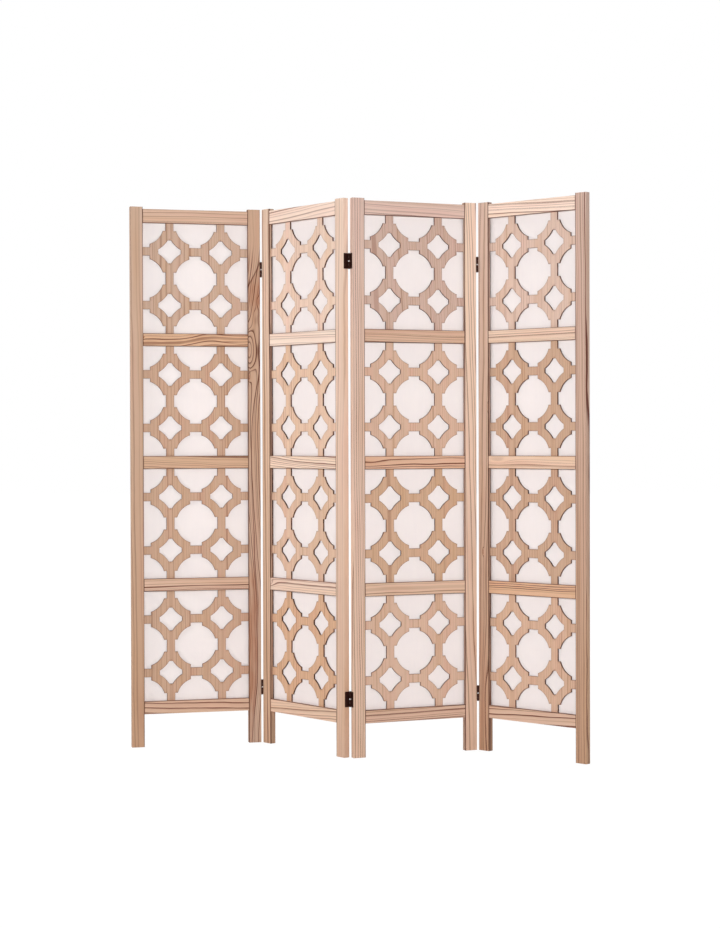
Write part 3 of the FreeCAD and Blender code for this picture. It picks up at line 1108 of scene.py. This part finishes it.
@dataclass
class LatticeBoard:
    """The thin lattice board of one cell: rings that meet at straight bars, with diamonds between.

    The board is worked out around nine ring centres. Around each, a ray leaves the opening at
    the larger of the circle and the two shoulder blocks, cut off by the window. It leaves the
    wood at the smallest of the rectangle between neighbours, the diamond and the border.
    """

    panel: PanelPlace
    cell: Cell
    grain: Grain
    opening_width: float = 356.0 * MM
    left: float = 42.0 * MM
    front: float = 9.1 * MM
    thickness: float = 5.0 * MM
    ring_inset: float = 4.7 * MM
    bar_widths: tuple[float, float] = (27.0 * MM, 28.0 * MM)
    shoulder_depth: float = 6.0 * MM
    shoulder_width: float = 40.0 * MM
    ring_width: float = 28.5 * MM
    diamond_span: float = 76.5 * MM
    edge_overlap: float = 1.5 * MM
    border: float = 6.5 * MM
    ease: float = 0.25 * MM
    fine_rim: float = 1.2 * MM
    wide_rim: float = 3.0 * MM
    halo: float = 0.7 * MM
    angle_step: float = 3.0
    hair: float = 1e-9
    seed: int = 0

    @property
    def opening(self) -> np.ndarray:
        """Width and height of the cell."""
        return np.array((self.opening_width, self.cell.top - self.cell.bottom))

    @property
    def half(self) -> np.ndarray:
        """Half the distance between ring centres, across and up."""
        return self.opening / 4 - self.ring_inset / 2

    @property
    def reach(self) -> np.ndarray:
        """How far an opening reaches from its centre, up to a straight bar, across and up."""
        return self.half - np.array(self.bar_widths) / 2

    @property
    def tip(self) -> np.ndarray:
        """Distance of a diamond's flat tips from a ring's centre, across and up."""
        return self.half - self.diamond_span / 2

    @property
    def ring_radius(self) -> float:
        """Radius of a ring's round opening."""
        return self.reach.min() - self.shoulder_depth

    def angles(self) -> np.ndarray:
        """Even steps around a centre, with a step moved onto every corner of the pattern."""
        half, reach, tip = self.half, self.reach, self.tip
        shoulder = self.shoulder_width / 2
        inner, outer = self.ring_radius, self.ring_radius + self.ring_width
        meet = math.sqrt(inner**2 - shoulder**2)
        window = self.ring_inset + self.edge_overlap
        edge = self.ring_inset + self.border
        corners = np.array(
            (
                (reach[0], shoulder), (meet, shoulder), (shoulder, meet), (shoulder, reach[1]),
                (half[0], tip[1]), (math.sqrt(outer**2 - tip[1] ** 2), tip[1]),
                (tip[0], math.sqrt(outer**2 - tip[0] ** 2)), (tip[0], half[1]),
                (reach[0], window), (half[0], edge), (window, reach[1]), (edge, half[1]),
            )
        )
        first = np.degrees(np.arctan2(corners[:, 1], corners[:, 0]))
        exact = np.concatenate((first, 180.0 - first, 180.0 + first, 360.0 - first))
        even = np.arange(0.0, 360.0, self.angle_step)
        spare = np.abs(even[:, None] - exact[None]).min(1) > 0.25 * self.angle_step
        return np.radians(np.sort(np.concatenate((even[spare], exact))))

    def radii(
        self, angle: np.ndarray, column: int, row: int
    ) -> tuple[np.ndarray, np.ndarray, np.ndarray]:
        """Where rays from one ring centre leave the opening and the wood.

        Args:
            angle: Directions of the rays.
            column: Column of the centre, from -1 to 1.
            row: Row of the centre, from -1 to 1.

        Returns:
            The inner radius, the outer radius, and whether the wood ends there.
        """
        half, reach, tip = self.half, self.reach, self.tip
        cosine = np.maximum(np.abs(np.cos(angle)), self.hair)
        sine = np.maximum(np.abs(np.sin(angle)), self.hair)
        shoulder, outer_radius = self.shoulder_width / 2, self.ring_radius + self.ring_width
        level = np.minimum(reach[0] / cosine, shoulder / sine)
        upright = np.minimum(shoulder / cosine, reach[1] / sine)
        inner = np.maximum(np.maximum(level, upright), self.ring_radius)
        square = np.minimum(half[0] / cosine, half[1] / sine)
        diamond = np.maximum(np.maximum(tip[0] / cosine, tip[1] / sine), outer_radius)
        outer = np.minimum(square, diamond)
        ends = diamond <= square + self.hair
        for count, part in ((column, np.cos(angle)), (row, np.sin(angle))):
            outward = np.maximum(part * count, self.hair)
            inner = np.minimum(inner, (self.ring_inset + self.edge_overlap) / outward)
            border = (self.ring_inset + self.border) / outward
            ends = np.where(border <= outer + self.hair, True, ends)
            outer = np.minimum(outer, border)
        return inner, outer, ends

    def edge_distance(self, across: np.ndarray, up: np.ndarray) -> np.ndarray:
        """Distance in the face from the nearest cut edge, for places about a ring's centre.

        It is the smallest of the distances to the circle, to the two shoulder blocks and to the
        diamond, whose own distance is the largest of those to its flat tips and to its arc.
        """
        x, z = np.abs(across), np.abs(up)
        reach, tip = self.reach, self.tip
        distance = np.hypot(x, z)
        shoulder = self.shoulder_width / 2
        circle = distance - self.ring_radius
        level = np.hypot(np.maximum(x - reach[0], 0), np.maximum(z - shoulder, 0))
        upright = np.hypot(np.maximum(x - shoulder, 0), np.maximum(z - reach[1], 0))
        outer = self.ring_radius + self.ring_width
        diamond = np.maximum(np.maximum(tip[0] - x, tip[1] - z), outer - distance)
        nearest = np.minimum(np.minimum(circle, level), np.minimum(upright, diamond))
        return np.maximum(nearest, 0.0)

    def ring(self, skin: Skin, angle: np.ndarray, column: int, row: int) -> None:
        """Adds the wood around one ring centre.

        Its section runs from the back, up the opening's wall, over the face, down the outer
        wall where there is one, and over the back again. The walls start a small ease below
        the face.

        Args:
            skin: Where the points are collected.
            angle: Directions of the rays.
            column: Column of the centre, from -1 to 1.
            row: Row of the centre, from -1 to 1.
        """
        inner, outer, ends = self.radii(angle, column, row)
        walls = ends & np.roll(ends, -1)
        rims = (walls | np.roll(walls, 1)).astype(float)
        fine = np.minimum(self.fine_rim, (outer - inner) / 4)
        wide = np.minimum(self.wide_rim, (outer - inner) / 3)
        radius = np.stack(
            (
                inner, inner, inner + self.ease, inner + fine, inner + wide, (inner + outer) / 2,
                outer - wide, outer - fine, outer - self.ease * rims, outer, outer, inner,
            )
        )
        inner_foot, inner_top, outer_top, outer_foot, last = 0, 1, 9, 10, 11
        inner_wall, outer_wall = [inner_foot, inner_top], [outer_top, outer_foot]
        depth = np.full_like(radius, self.front)
        depth[[inner_foot, outer_foot, last]] += self.thickness
        depth[inner_top] += self.ease
        depth[outer_top] += self.ease * rims
        x, z = radius * np.cos(angle), radius * np.sin(angle)
        marks = np.zeros((*radius.shape, len(Mark)))
        marks[..., Mark.LINE] = np.exp(-self.edge_distance(x, z) / self.halo)
        marks[inner_wall, :, Mark.INNER_FACE] = 1.0
        marks[outer_wall, :, Mark.INNER_FACE] = rims
        marks[outer_wall, :, Mark.LINE] *= rims
        centre_x = self.left + self.opening[0] / 2 + column * 2 * self.half[0]
        centre_z = self.cell.bottom + self.opening[1] / 2 + row * 2 * self.half[1]
        points = np.stack((x + centre_x, depth, z + centre_z), axis=-1)
        skin.grid(points[:outer_foot], marks[:outer_foot])
        skin.grid(points[outer_wall], marks[outer_wall], walls)
        skin.grid(points[outer_foot:], marks[outer_foot:])

    def build(self, material: Material) -> Piece:
        """Makes the board and puts it in place of the plain one."""
        number = self.panel.number
        angle = self.angles()
        skin = Skin()
        for column in (-1, 0, 1):
            for row in (-1, 0, 1):
                self.ring(skin, angle, column, row)
        mesh, places = skin.mesh(f"panel_{number}_lattice_{self.cell.index + 1}")
        across = places[:, 0] - self.left - self.opening[0] / 2
        self.grain.dress(mesh, places[:, 2], across, places[:, 1], self.seed)
        piece = stand(mesh, places, self.panel, material)
        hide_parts(f"panel_{number}_lattice_boards")
        return piece


@dataclass
class WhiteSheet:
    """The thin sheet behind one lattice board, held by its edges in the frame's groove."""

    panel: PanelPlace
    cell: Cell
    opening_width: float = 356.0 * MM
    left: float = 42.0 * MM
    front: float = 14.1 * MM
    thickness: float = 0.4 * MM
    border: float = 6.5 * MM
    play: float = 0.06 * MM
    ripple: float = 0.08 * MM
    waves: tuple[float, float] = (17.0, 11.0)
    steps: int = 30
    seed: int = 0

    def build(self, material: Material) -> Piece:
        """Makes the sheet as a front and a back grid with a closed rim.

        The depth of a point is the front depth plus a ripple, a product of two sine waves that
        dies out at the held edges.
        """
        number = self.panel.number
        width = self.opening_width + 2 * self.border
        height = self.cell.top - self.cell.bottom + 2 * self.border
        share = np.linspace(0.0, 1.0, self.steps + 1)
        across, up = np.meshgrid(share, share)
        fade = np.sin(math.pi * across) * np.sin(math.pi * up)
        wave = np.sin(across * self.waves[0] + self.seed)
        wave = wave * np.sin(up * self.waves[1] + 1.7 * self.seed)
        depth = self.front + self.play + self.ripple * (0.5 + 0.5 * wave) * fade
        x = self.left - self.border + across * width
        z = self.cell.bottom - self.border + up * height
        front = np.stack((x, depth, z), axis=-1).reshape(-1, 3)
        back = front + np.array((0.0, self.thickness, 0.0))
        numbers = np.arange(front.shape[0]).reshape(across.shape)
        low, high = numbers[:-1], numbers[1:]
        quads = np.stack((low[:, :-1], low[:, 1:], high[:, 1:], high[:, :-1]), axis=-1)
        quads = quads.reshape(-1, 4)
        rim = np.concatenate((low[0, :-1], low[:, -1], numbers[-1, :0:-1], numbers[:0:-1, 0]))
        after = np.roll(rim, -1)
        shift = front.shape[0]
        rims = np.stack((rim, rim + shift, after + shift, after), axis=-1)
        faces = np.concatenate((quads, quads[:, ::-1] + shift, rims))
        places = np.concatenate((front, back))
        mesh = bpy.data.meshes.new(f"panel_{number}_sheet_{self.cell.index + 1}")
        mesh.from_pydata(places, [], faces.tolist())
        space = (places[:, 0], places[:, 2], LOG_STRETCH * self.seed)
        write_attribute(mesh, "sheet_space", space)
        piece = stand(mesh, places, self.panel, material)
        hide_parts(f"panel_{number}_sheets")
        return piece


@dataclass(frozen=True)
class Fittings:
    """The hinges' leaves, pins and screws and the frame's dowels, kept as built and finished."""

    bevel: float = 0.12 * MM
    segments: int = 2
    sharp_angle: float = math.radians(40)
    weld_distance: float = 0.002 * MM

    def dress(self, node: str, material: Material, softened: bool) -> None:
        """Gives a kept node its finish, and softens its edges.

        Args:
            node: Name of the node.
            material: The finish.
            softened: Whether its edges are softened.
        """
        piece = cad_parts[node]
        if not piece.material_slots:
            piece.data.materials.append(material)
        for slot in piece.material_slots:
            slot.material = material
        if softened:
            weld = piece.modifiers.new("weld", "WELD")
            weld.merge_threshold = self.weld_distance
            bevel = piece.modifiers.new("soft_edges", "BEVEL")
            bevel.width = self.bevel
            bevel.segments = self.segments
            bevel.limit_method = "ANGLE"
            bevel.angle_limit = self.sharp_angle


# Studio


@dataclass(frozen=True)
class SoftBox:
    """One large soft lamp, aimed at a point."""

    name: str
    place: tuple[float, float, float]
    size: float
    power: float
    target: tuple[float, float, float] = (0.0, 0.0, 0.9)

    def build(self) -> Piece:
        """Makes the lamp."""
        data = bpy.data.lights.new(self.name, "AREA")
        data.shape = "SQUARE"
        data.size = self.size
        data.energy = self.power
        lamp = bpy.data.objects.new(self.name, data)
        bpy.context.scene.collection.objects.link(lamp)
        lamp.location = self.place
        aim = Vector(self.target) - Vector(self.place)
        lamp.rotation_mode = "QUATERNION"
        lamp.rotation_quaternion = aim.to_track_quat("-Z", "Y")
        lamp.visible_camera = False
        lamp.visible_glossy = False
        return lamp


LAMPS = (
    SoftBox("front", (0.1, -6.0, 1.9), 1.4, 171.0),
    SoftBox("left", (-4.64, -1.92, 1.9), 1.4, 86.0),
    SoftBox("right", (3.5, -3.5, 1.9), 1.4, 31.0),
    SoftBox("rear_left", (-2.4, 4.4, 2.2), 2.0, 119.0),
    SoftBox("rear_right", (3.2, 3.6, 2.2), 2.0, 97.0),
    SoftBox("overhead", (0.0, 0.0, 5.0), 3.0, 55.0),
)


@dataclass(frozen=True)
class Studio:
    """A pale floor, an even white surround, soft lamps and the camera."""

    lamps: tuple[SoftBox, ...] = LAMPS
    surround: float = 0.1
    floor_size: float = 60.0
    floor_drop: float = 0.1 * MM
    floor_tint: Colour = (0.8, 0.795, 0.79, 1.0)
    floor_share: float = 0.9
    floor_white: float = 1.055
    shadow_reach: tuple[float, float] = (1.2, 3.0)
    lens: float = 78.708
    sensor: float = 36.0
    eye: tuple[float, float, float] = (0.0210, -6.6261, 1.0329)
    pitch: float = -0.765
    roll: float = 0.153
    clip: tuple[float, float] = (0.1, 200.0)

    @staticmethod
    def seen(graph: Graph) -> Value:
        """1 for rays from the camera and for those that gloss or glass sends on."""
        path = graph.node("ShaderNodeLightPath")
        camera = Value(graph, path.outputs["Is Camera Ray"])
        glossy = Value(graph, path.outputs["Is Glossy Ray"])
        through = Value(graph, path.outputs["Is Transmission Ray"])
        return camera.larger(glossy).larger(through)

    def build_world(self) -> None:
        """Makes the even surround: white where it is seen, a plain light level elsewhere."""
        world = bpy.data.worlds.new("surround")
        bpy.context.scene.world = world
        graph = Graph(world)
        strength = self.surround + self.seen(graph) * (1.0 - self.surround)
        glow = {"Color": WHITE, "Strength": strength}
        back = graph.node("ShaderNodeBackground", None, glow)
        graph.node("ShaderNodeOutputWorld", None, {"Surface": back.outputs[0]})

    def build_floor(self) -> Piece:
        """Makes the floor, which is white to the camera and keeps a faint shadow near the feet."""
        half = self.floor_size / 2
        corners = [(-half, -half), (half, -half), (half, half), (-half, half)]
        mesh = bpy.data.meshes.new("floor")
        mesh.from_pydata([(x, y, -self.floor_drop) for x, y in corners], [], [(0, 1, 2, 3)])
        graph = Graph(bpy.data.materials.new("pale_floor"))
        matt = graph.node("ShaderNodeBsdfDiffuse", None, {"Color": self.floor_tint})
        light = {"Color": WHITE, "Strength": self.floor_white}
        glow = graph.node("ShaderNodeEmission", None, light)
        x, y, _ = graph.parts(graph.node("ShaderNodeTexCoord").outputs["Object"])
        far = (x * x + y * y).root().step(*self.shadow_reach)
        share = self.seen(graph) * (far * (1.0 - self.floor_share) + self.floor_share)
        inputs = {0: share, 1: matt.outputs[0], 2: glow.outputs[0]}
        mixed = graph.node("ShaderNodeMixShader", None, inputs)
        graph.node("ShaderNodeOutputMaterial", None, {"Surface": mixed.outputs[0]})
        mesh.materials.append(graph.owner)
        floor = bpy.data.objects.new("floor", mesh)
        bpy.context.scene.collection.objects.link(floor)
        return floor

    def build_camera(self) -> Piece:
        """Makes the camera."""
        data = bpy.data.cameras.new("camera")
        data.lens = self.lens
        data.sensor_width = self.sensor
        data.clip_start, data.clip_end = self.clip
        camera = bpy.data.objects.new("camera", data)
        bpy.context.scene.collection.objects.link(camera)
        tilt = Matrix.Rotation(math.radians(90.0 + self.pitch), 4, "X")
        turn = Matrix.Rotation(math.radians(-self.roll), 4, "Z")
        camera.matrix_world = Matrix.Translation(self.eye) @ tilt @ turn
        bpy.context.scene.camera = camera
        return camera

    def build(self) -> None:
        """Makes the whole studio."""
        self.build_world()
        self.build_floor()
        for lamp in self.lamps:
            lamp.build()
        self.build_camera()
        bpy.context.scene.view_settings.view_transform = "Standard"


# The divider


@dataclass
class Panel:
    """One panel of the divider with its own wood."""

    number: int
    left: Grain
    right: Grain
    rails: tuple[Grain, ...]
    boards: tuple[Grain, ...]
    wood: FrameWood = FrameWood()

    def build(self, finishes: dict[str, Material]) -> None:
        """Makes every piece of the panel.

        Args:
            finishes: The materials, by name.
        """
        place = PanelPlace.read(self.number, self.wood.stile_width, self.wood.thickness)
        seed = 100 * self.number
        Stile(place, "left", self.left, self.wood, seed=seed + 1).build(finishes["frame"])
        Stile(place, "right", self.right, self.wood, seed=seed + 2).build(finishes["frame"])
        for level, grain in enumerate(self.rails):
            Rail(place, level, grain, self.wood, seed=seed + 10 + level).build(finishes["frame"])
        for index, grain in enumerate(self.boards):
            cell = Cell.read(self.number, index)
            LatticeBoard(place, cell, grain, seed=seed + 20 + index).build(finishes["lattice"])
            WhiteSheet(place, cell, seed=seed + 30 + index).build(finishes["sheet"])
        LOG.info("panel %d built", self.number)


FINISHES = {
    "frame": WoodFinish(
        name="frame_pine",
        late=colour(126, 84, 74),
        stain=colour(218, 182, 164),
        warm=colour(247, 234, 217),
        cool=colour(255, 240, 240),
        shade=colour(100, 52, 24),
        shade_strength=0.3,
        line_strength=0.96,
    ),
    "lattice": WoodFinish(
        name="lattice_pine",
        late=colour(168, 122, 100),
        stain=colour(232, 208, 190),
        warm=colour(247, 234, 217),
        cool=colour(255, 240, 240),
        shade=colour(112, 58, 26),
        shade_strength=0.95,
        line_strength=0.8,
    ),
    "sheet": SheetFinish("white_sheet", colour(250, 237, 233), colour(243, 230, 229)),
    "bronze": MetalFinish("dark_bronze", colour(62, 32, 26), colour(120, 78, 62), 0.7, 0.45),
    "steel": MetalFinish("bright_steel", colour(200, 196, 190), colour(235, 232, 228), 1.0, 0.28),
}


# The figure of panel 1's right stile, from the foot up
SWIRLS = (
    Knot((1.325, -0.021), (0.085, 0.024), 8.0, 0.15),
    Knot((1.235, -0.018), (0.014, 0.006), 2.0, 0.7),
    Knot((1.49, 0.013), (0.018, 0.006), 1.0, 0.6),
    Knot((1.44, 0.0), (0.045, 0.012), 1.5, 0.25),
)
FLAMES = (
    Seam(
        path=(
            (0.00, -0.012, 0.5, 0.30, 0.0),
            (0.10, -0.004, 0.6, 0.40, 0.0),
            (0.15, 0.002, 0.6, 0.45, 0.0),
            (0.20, 0.007, 0.6, 0.50, 0.0),
            (0.27, 0.009, 0.6, 0.50, 0.0),
            (0.40, 0.008, 0.5, 0.50, 0.0),
            (0.46, 0.011, 0.5, 0.50, 0.0),
            (0.51, 0.008, 0.6, 0.45, 0.0),
            (0.56, 0.003, 0.8, 0.40, 0.0),
            (0.62, -0.001, 1.0, 0.20, 0.0),
            (0.70, -0.002, 1.0, 0.10, 0.1),
            (0.78, -0.006, 0.6, 0.0, 0.1),
            (0.90, -0.010, 0.6, 0.0, 0.1),
            (1.00, -0.0105, 0.7, 0.0, 0.1),
            (1.08, -0.008, 0.9, 0.0, 0.1),
            (1.15, -0.001, 1.0, 0.0, 0.1),
            (1.195, 0.007, 1.0, 0.0, 0.1),
            (1.24, 0.016, 1.0, 0.0, 0.0),
            (1.30, 0.021, 0.7, 0.0, 0.0),
        ),
        width=1.3 * MM,
        soft=40.0 * MM,
        follow=0.9,
    ),
    Seam(
        path=(
            (1.44, -0.036, 0.0, 0.0, 0.1),
            (1.50, -0.034, 0.5, 0.0, 0.5),
            (1.535, -0.024, 0.9, 0.0, 0.6),
            (1.56, -0.010, 0.9, 0.0, 0.45),
            (1.59, 0.006, 0.7, 0.0, 0.4),
            (1.62, 0.020, 0.6, 0.0, 0.3),
            (1.70, 0.050, 0.0, 0.0, 0.0),
        ),
        width=2.4 * MM,
        soft=20.0 * MM,
        follow=0.4,
    ),
)

# The figure of panel 1's upper rail, from the left end
UPPER_RAIL_KNOTS = (
    Knot((0.040, 0.008), (0.006, 0.006), 0.6, 0.9),
    Knot((0.037, -0.006), (0.003, 0.006), 0.3, 0.9),
    Knot((0.085, 0.012), (0.04, 0.005), 0.0, 0.3),
)
UPPER_RAIL_SEAMS = (
    Seam(
        path=(
            (0.03, 0.000, 0.0, 0.0, 0.0),
            (0.06, -0.001, 0.5, 0.0, 0.0),
            (0.16, 0.002, 0.5, 0.0, 0.0),
            (0.20, 0.008, 0.5, 0.0, 0.1),
            (0.25, 0.016, 0.5, 0.1, 0.1),
            (0.36, 0.018, 0.3, 0.1, 0.0),
        ),
        width=0.9 * MM,
        soft=24.0 * MM,
        follow=0.3,
    ),
    Seam(
        path=(
            (0.17, -0.022, 0.0, 0.0, 0.0),
            (0.21, -0.013, 0.5, 0.0, 0.2),
            (0.25, -0.003, 0.6, 0.0, 0.2),
            (0.28, 0.000, 0.6, 0.0, 0.0),
            (0.31, -0.006, 0.6, 0.0, 0.0),
            (0.36, -0.012, 0.3, 0.0, 0.0),
        ),
        width=1.4 * MM,
        soft=24.0 * MM,
        follow=0.5,
    ),
)

# The stains of panel 4's left stile, from the foot up
PITCH_MARKS = (
    Knot((0.655, -0.003), (0.012, 0.003), 1.5, 0.8),
    Knot((1.13, 0.018), (0.02, 0.003), 1.0, 0.5),
    Knot((0.15, 0.004), (0.20, 0.020), 1.5, 0.25),
    Knot((0.62, 0.004), (0.20, 0.010), 0.5, 0.25),
)

RIFT, QUARTER = Cut.RIFT, Cut.QUARTER

# Left and right stile of each panel; most run lighter towards the top, painted light from above
STILES = (
    (
        Grain(Tone.BARK, RIFT, (0.012, 0.0), 11.0 * MM, 0.35, 0.15, far=Tone.CLAY),
        Grain(
            Tone.CLAY, RIFT, (0.012, 0.02), 5.5 * MM, 0.75, 0.25, SWIRLS,
            far=Tone.NUT, seams=FLAMES, calm=(1.61, 1.68),
        ),
    ),
    (
        Grain(Tone.RED, RIFT, (0.01, 0.0), 9.0 * MM, 0.45, 0.1, far=Tone.SHELL),
        Grain(Tone.FAWN, QUARTER, (-0.01, 0.0), 11.0 * MM, 0.4, 0.1, far=Tone.IVORY),
    ),
    (
        Grain(Tone.OAT, QUARTER, (0.008, 0.0), 9.5 * MM, 0.85, 0.08, far=Tone.WHEAT),
        Grain(Tone.HONEY, RIFT, (0.03, 0.0), 12.0 * MM, 0.5, 0.2, far=Tone.PALE),
    ),
    (
        Grain(Tone.BARK, RIFT, (-0.015, 0.0), 10.0 * MM, 0.6, 0.3, PITCH_MARKS, far=Tone.SAND),
        Grain(Tone.BARK, QUARTER, (0.008, 0.0), 8.0 * MM, 0.9, 0.08, far=Tone.TAN),
    ),
)

# Rails of each panel, from the bottom up; on panels 2 and 4 they grow lighter upwards, painted
# light from above
RAILS = (
    (
        Grain(Tone.FAWN, RIFT, (0.03, 0.0), 13.0 * MM, 1.0, 0.35),
        Grain(Tone.HONEY, QUARTER, (0.0, 0.0), 8.0 * MM, 0.7, 0.1),
        Grain(Tone.RED, RIFT, (0.04, 0.0), 7.5 * MM, 0.65, 0.3),
        Grain(
            Tone.AMBER, RIFT, (-0.03, 0.0), 8.0 * MM, 0.85, 0.5, UPPER_RAIL_KNOTS,
            seams=UPPER_RAIL_SEAMS,
        ),
        Grain(Tone.HONEY, QUARTER, (0.0, 0.0), 9.0 * MM, 0.5, 0.15),
    ),
    (
        Grain(Tone.BLUSH, RIFT, (-0.055, 0.0), 7.0 * MM, 0.7, 0.25),
        Grain(
            Tone.IVORY, RIFT, (0.0, 0.01), 7.0 * MM, 0.75, 0.3,
            (Knot((0.02, 0.0), (0.04, 0.012), 3.0, 0.1),),
        ),
        Grain(Tone.PALE, RIFT, (0.06, 0.0), 7.5 * MM, 0.65, 0.3),
        Grain(Tone.CREAM, QUARTER, (0.01, 0.0), 12.0 * MM, 0.45, 0.15),
        Grain(Tone.MILK, RIFT, (-0.06, 0.0), 7.5 * MM, 0.7, 0.08),
    ),
    (
        Grain(Tone.HONEY, QUARTER, (-0.01, 0.0), 8.5 * MM, 0.95, 0.12),
        Grain(
            Tone.OAT, QUARTER, (0.0, 0.0), 9.0 * MM, 0.45, 0.2,
            (Knot((0.015, 0.008), (0.02, 0.006), 1.5, 0.3),),
        ),
        Grain(
            Tone.ROSE, RIFT, (0.0, 0.0), 10.0 * MM, 0.95, 0.4,
            (Knot((0.05, 0.0), (0.08, 0.012), 0.8, 0.35),),
        ),
        Grain(Tone.FAWN, QUARTER, (0.01, 0.0), 8.0 * MM, 0.6, 0.12),
        Grain(Tone.WHEAT, RIFT, (0.04, 0.0), 7.5 * MM, 0.6, 0.1),
    ),
    (
        Grain(Tone.HONEY, RIFT, (-0.05, 0.0), 8.0 * MM, 0.8, 0.3),
        Grain(Tone.AMBER, RIFT, (0.0, 0.0), 7.5 * MM, 0.85, 0.3),
        Grain(
            Tone.BLUSH, QUARTER, (0.0, 0.0), 12.0 * MM, 0.4, 0.2,
            (Knot((0.08, 0.006), (0.04, 0.010), 1.5, 0.1),),
        ),
        Grain(Tone.SHELL, QUARTER, (-0.01, 0.0), 9.0 * MM, 0.5, 0.1),
        Grain(Tone.MILK, RIFT, (0.04, 0.0), 7.5 * MM, 0.75, 0.1),
    ),
)


def veneer(tone: Tone, contrast: float, cut: Cut = Cut.QUARTER) -> Grain:
    """The quiet, even figure that most lattice boards have."""
    return Grain(tone, cut, ring=7.0 * MM, contrast=contrast)


# Lattice boards of each panel, from the bottom up; on panel 2 they grow lighter upwards, painted
# light from above
BOARDS = (
    (
        veneer(Tone.NUT, 0.3),
        veneer(Tone.NUT, 0.4),
        veneer(Tone.NUT, 0.4),
        veneer(Tone.CLAY, 0.4, RIFT),
    ),
    (
        veneer(Tone.AMBER, 0.4),
        veneer(Tone.OAT, 0.35),
        veneer(Tone.BLUSH, 0.35),
        veneer(Tone.IVORY, 0.35),
    ),
    (
        veneer(Tone.HONEY, 0.25, RIFT),
        veneer(Tone.RED, 0.3),
        veneer(Tone.HONEY, 0.3),
        Grain(Tone.TAN, RIFT, (0.05, 0.0), 6.5 * MM, 0.35, 0.15),
    ),
    (
        veneer(Tone.FAWN, 0.4),
        veneer(Tone.NUT, 0.35),
        veneer(Tone.NUT, 0.35),
        veneer(Tone.SAND, 0.35),
    ),
)


def panels() -> list[Panel]:
    """The four panels, from left to right."""
    woods = enumerate(zip(STILES, RAILS, BOARDS), 1)
    return [Panel(number, *stiles, rails, boards) for number, (stiles, rails, boards) in woods]


def dress_fittings(made: dict[str, Material]) -> None:
    """Gives the kept hinge pieces and dowels their finish."""
    fittings = Fittings()
    for node in sorted(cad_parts):
        if node.endswith("_leaf"):
            fittings.dress(node, made["bronze"], True)
        elif node.startswith("hinge_pins"):
            fittings.dress(node, made["steel"], True)
        elif node.endswith("hinge_screws"):
            fittings.dress(node, made["bronze"], False)
        elif node.endswith("dowels"):
            fittings.dress(node, made["lattice"], False)


def main() -> None:
    """Builds the divider's looks and its studio."""
    logging.basicConfig(level=logging.INFO, format="%(message)s")
    made = {name: finish.build() for name, finish in FINISHES.items()}
    for panel in panels():
        panel.build(made)
    dress_fittings(made)
    Studio().build()


if __name__ == "__main__":
    main()
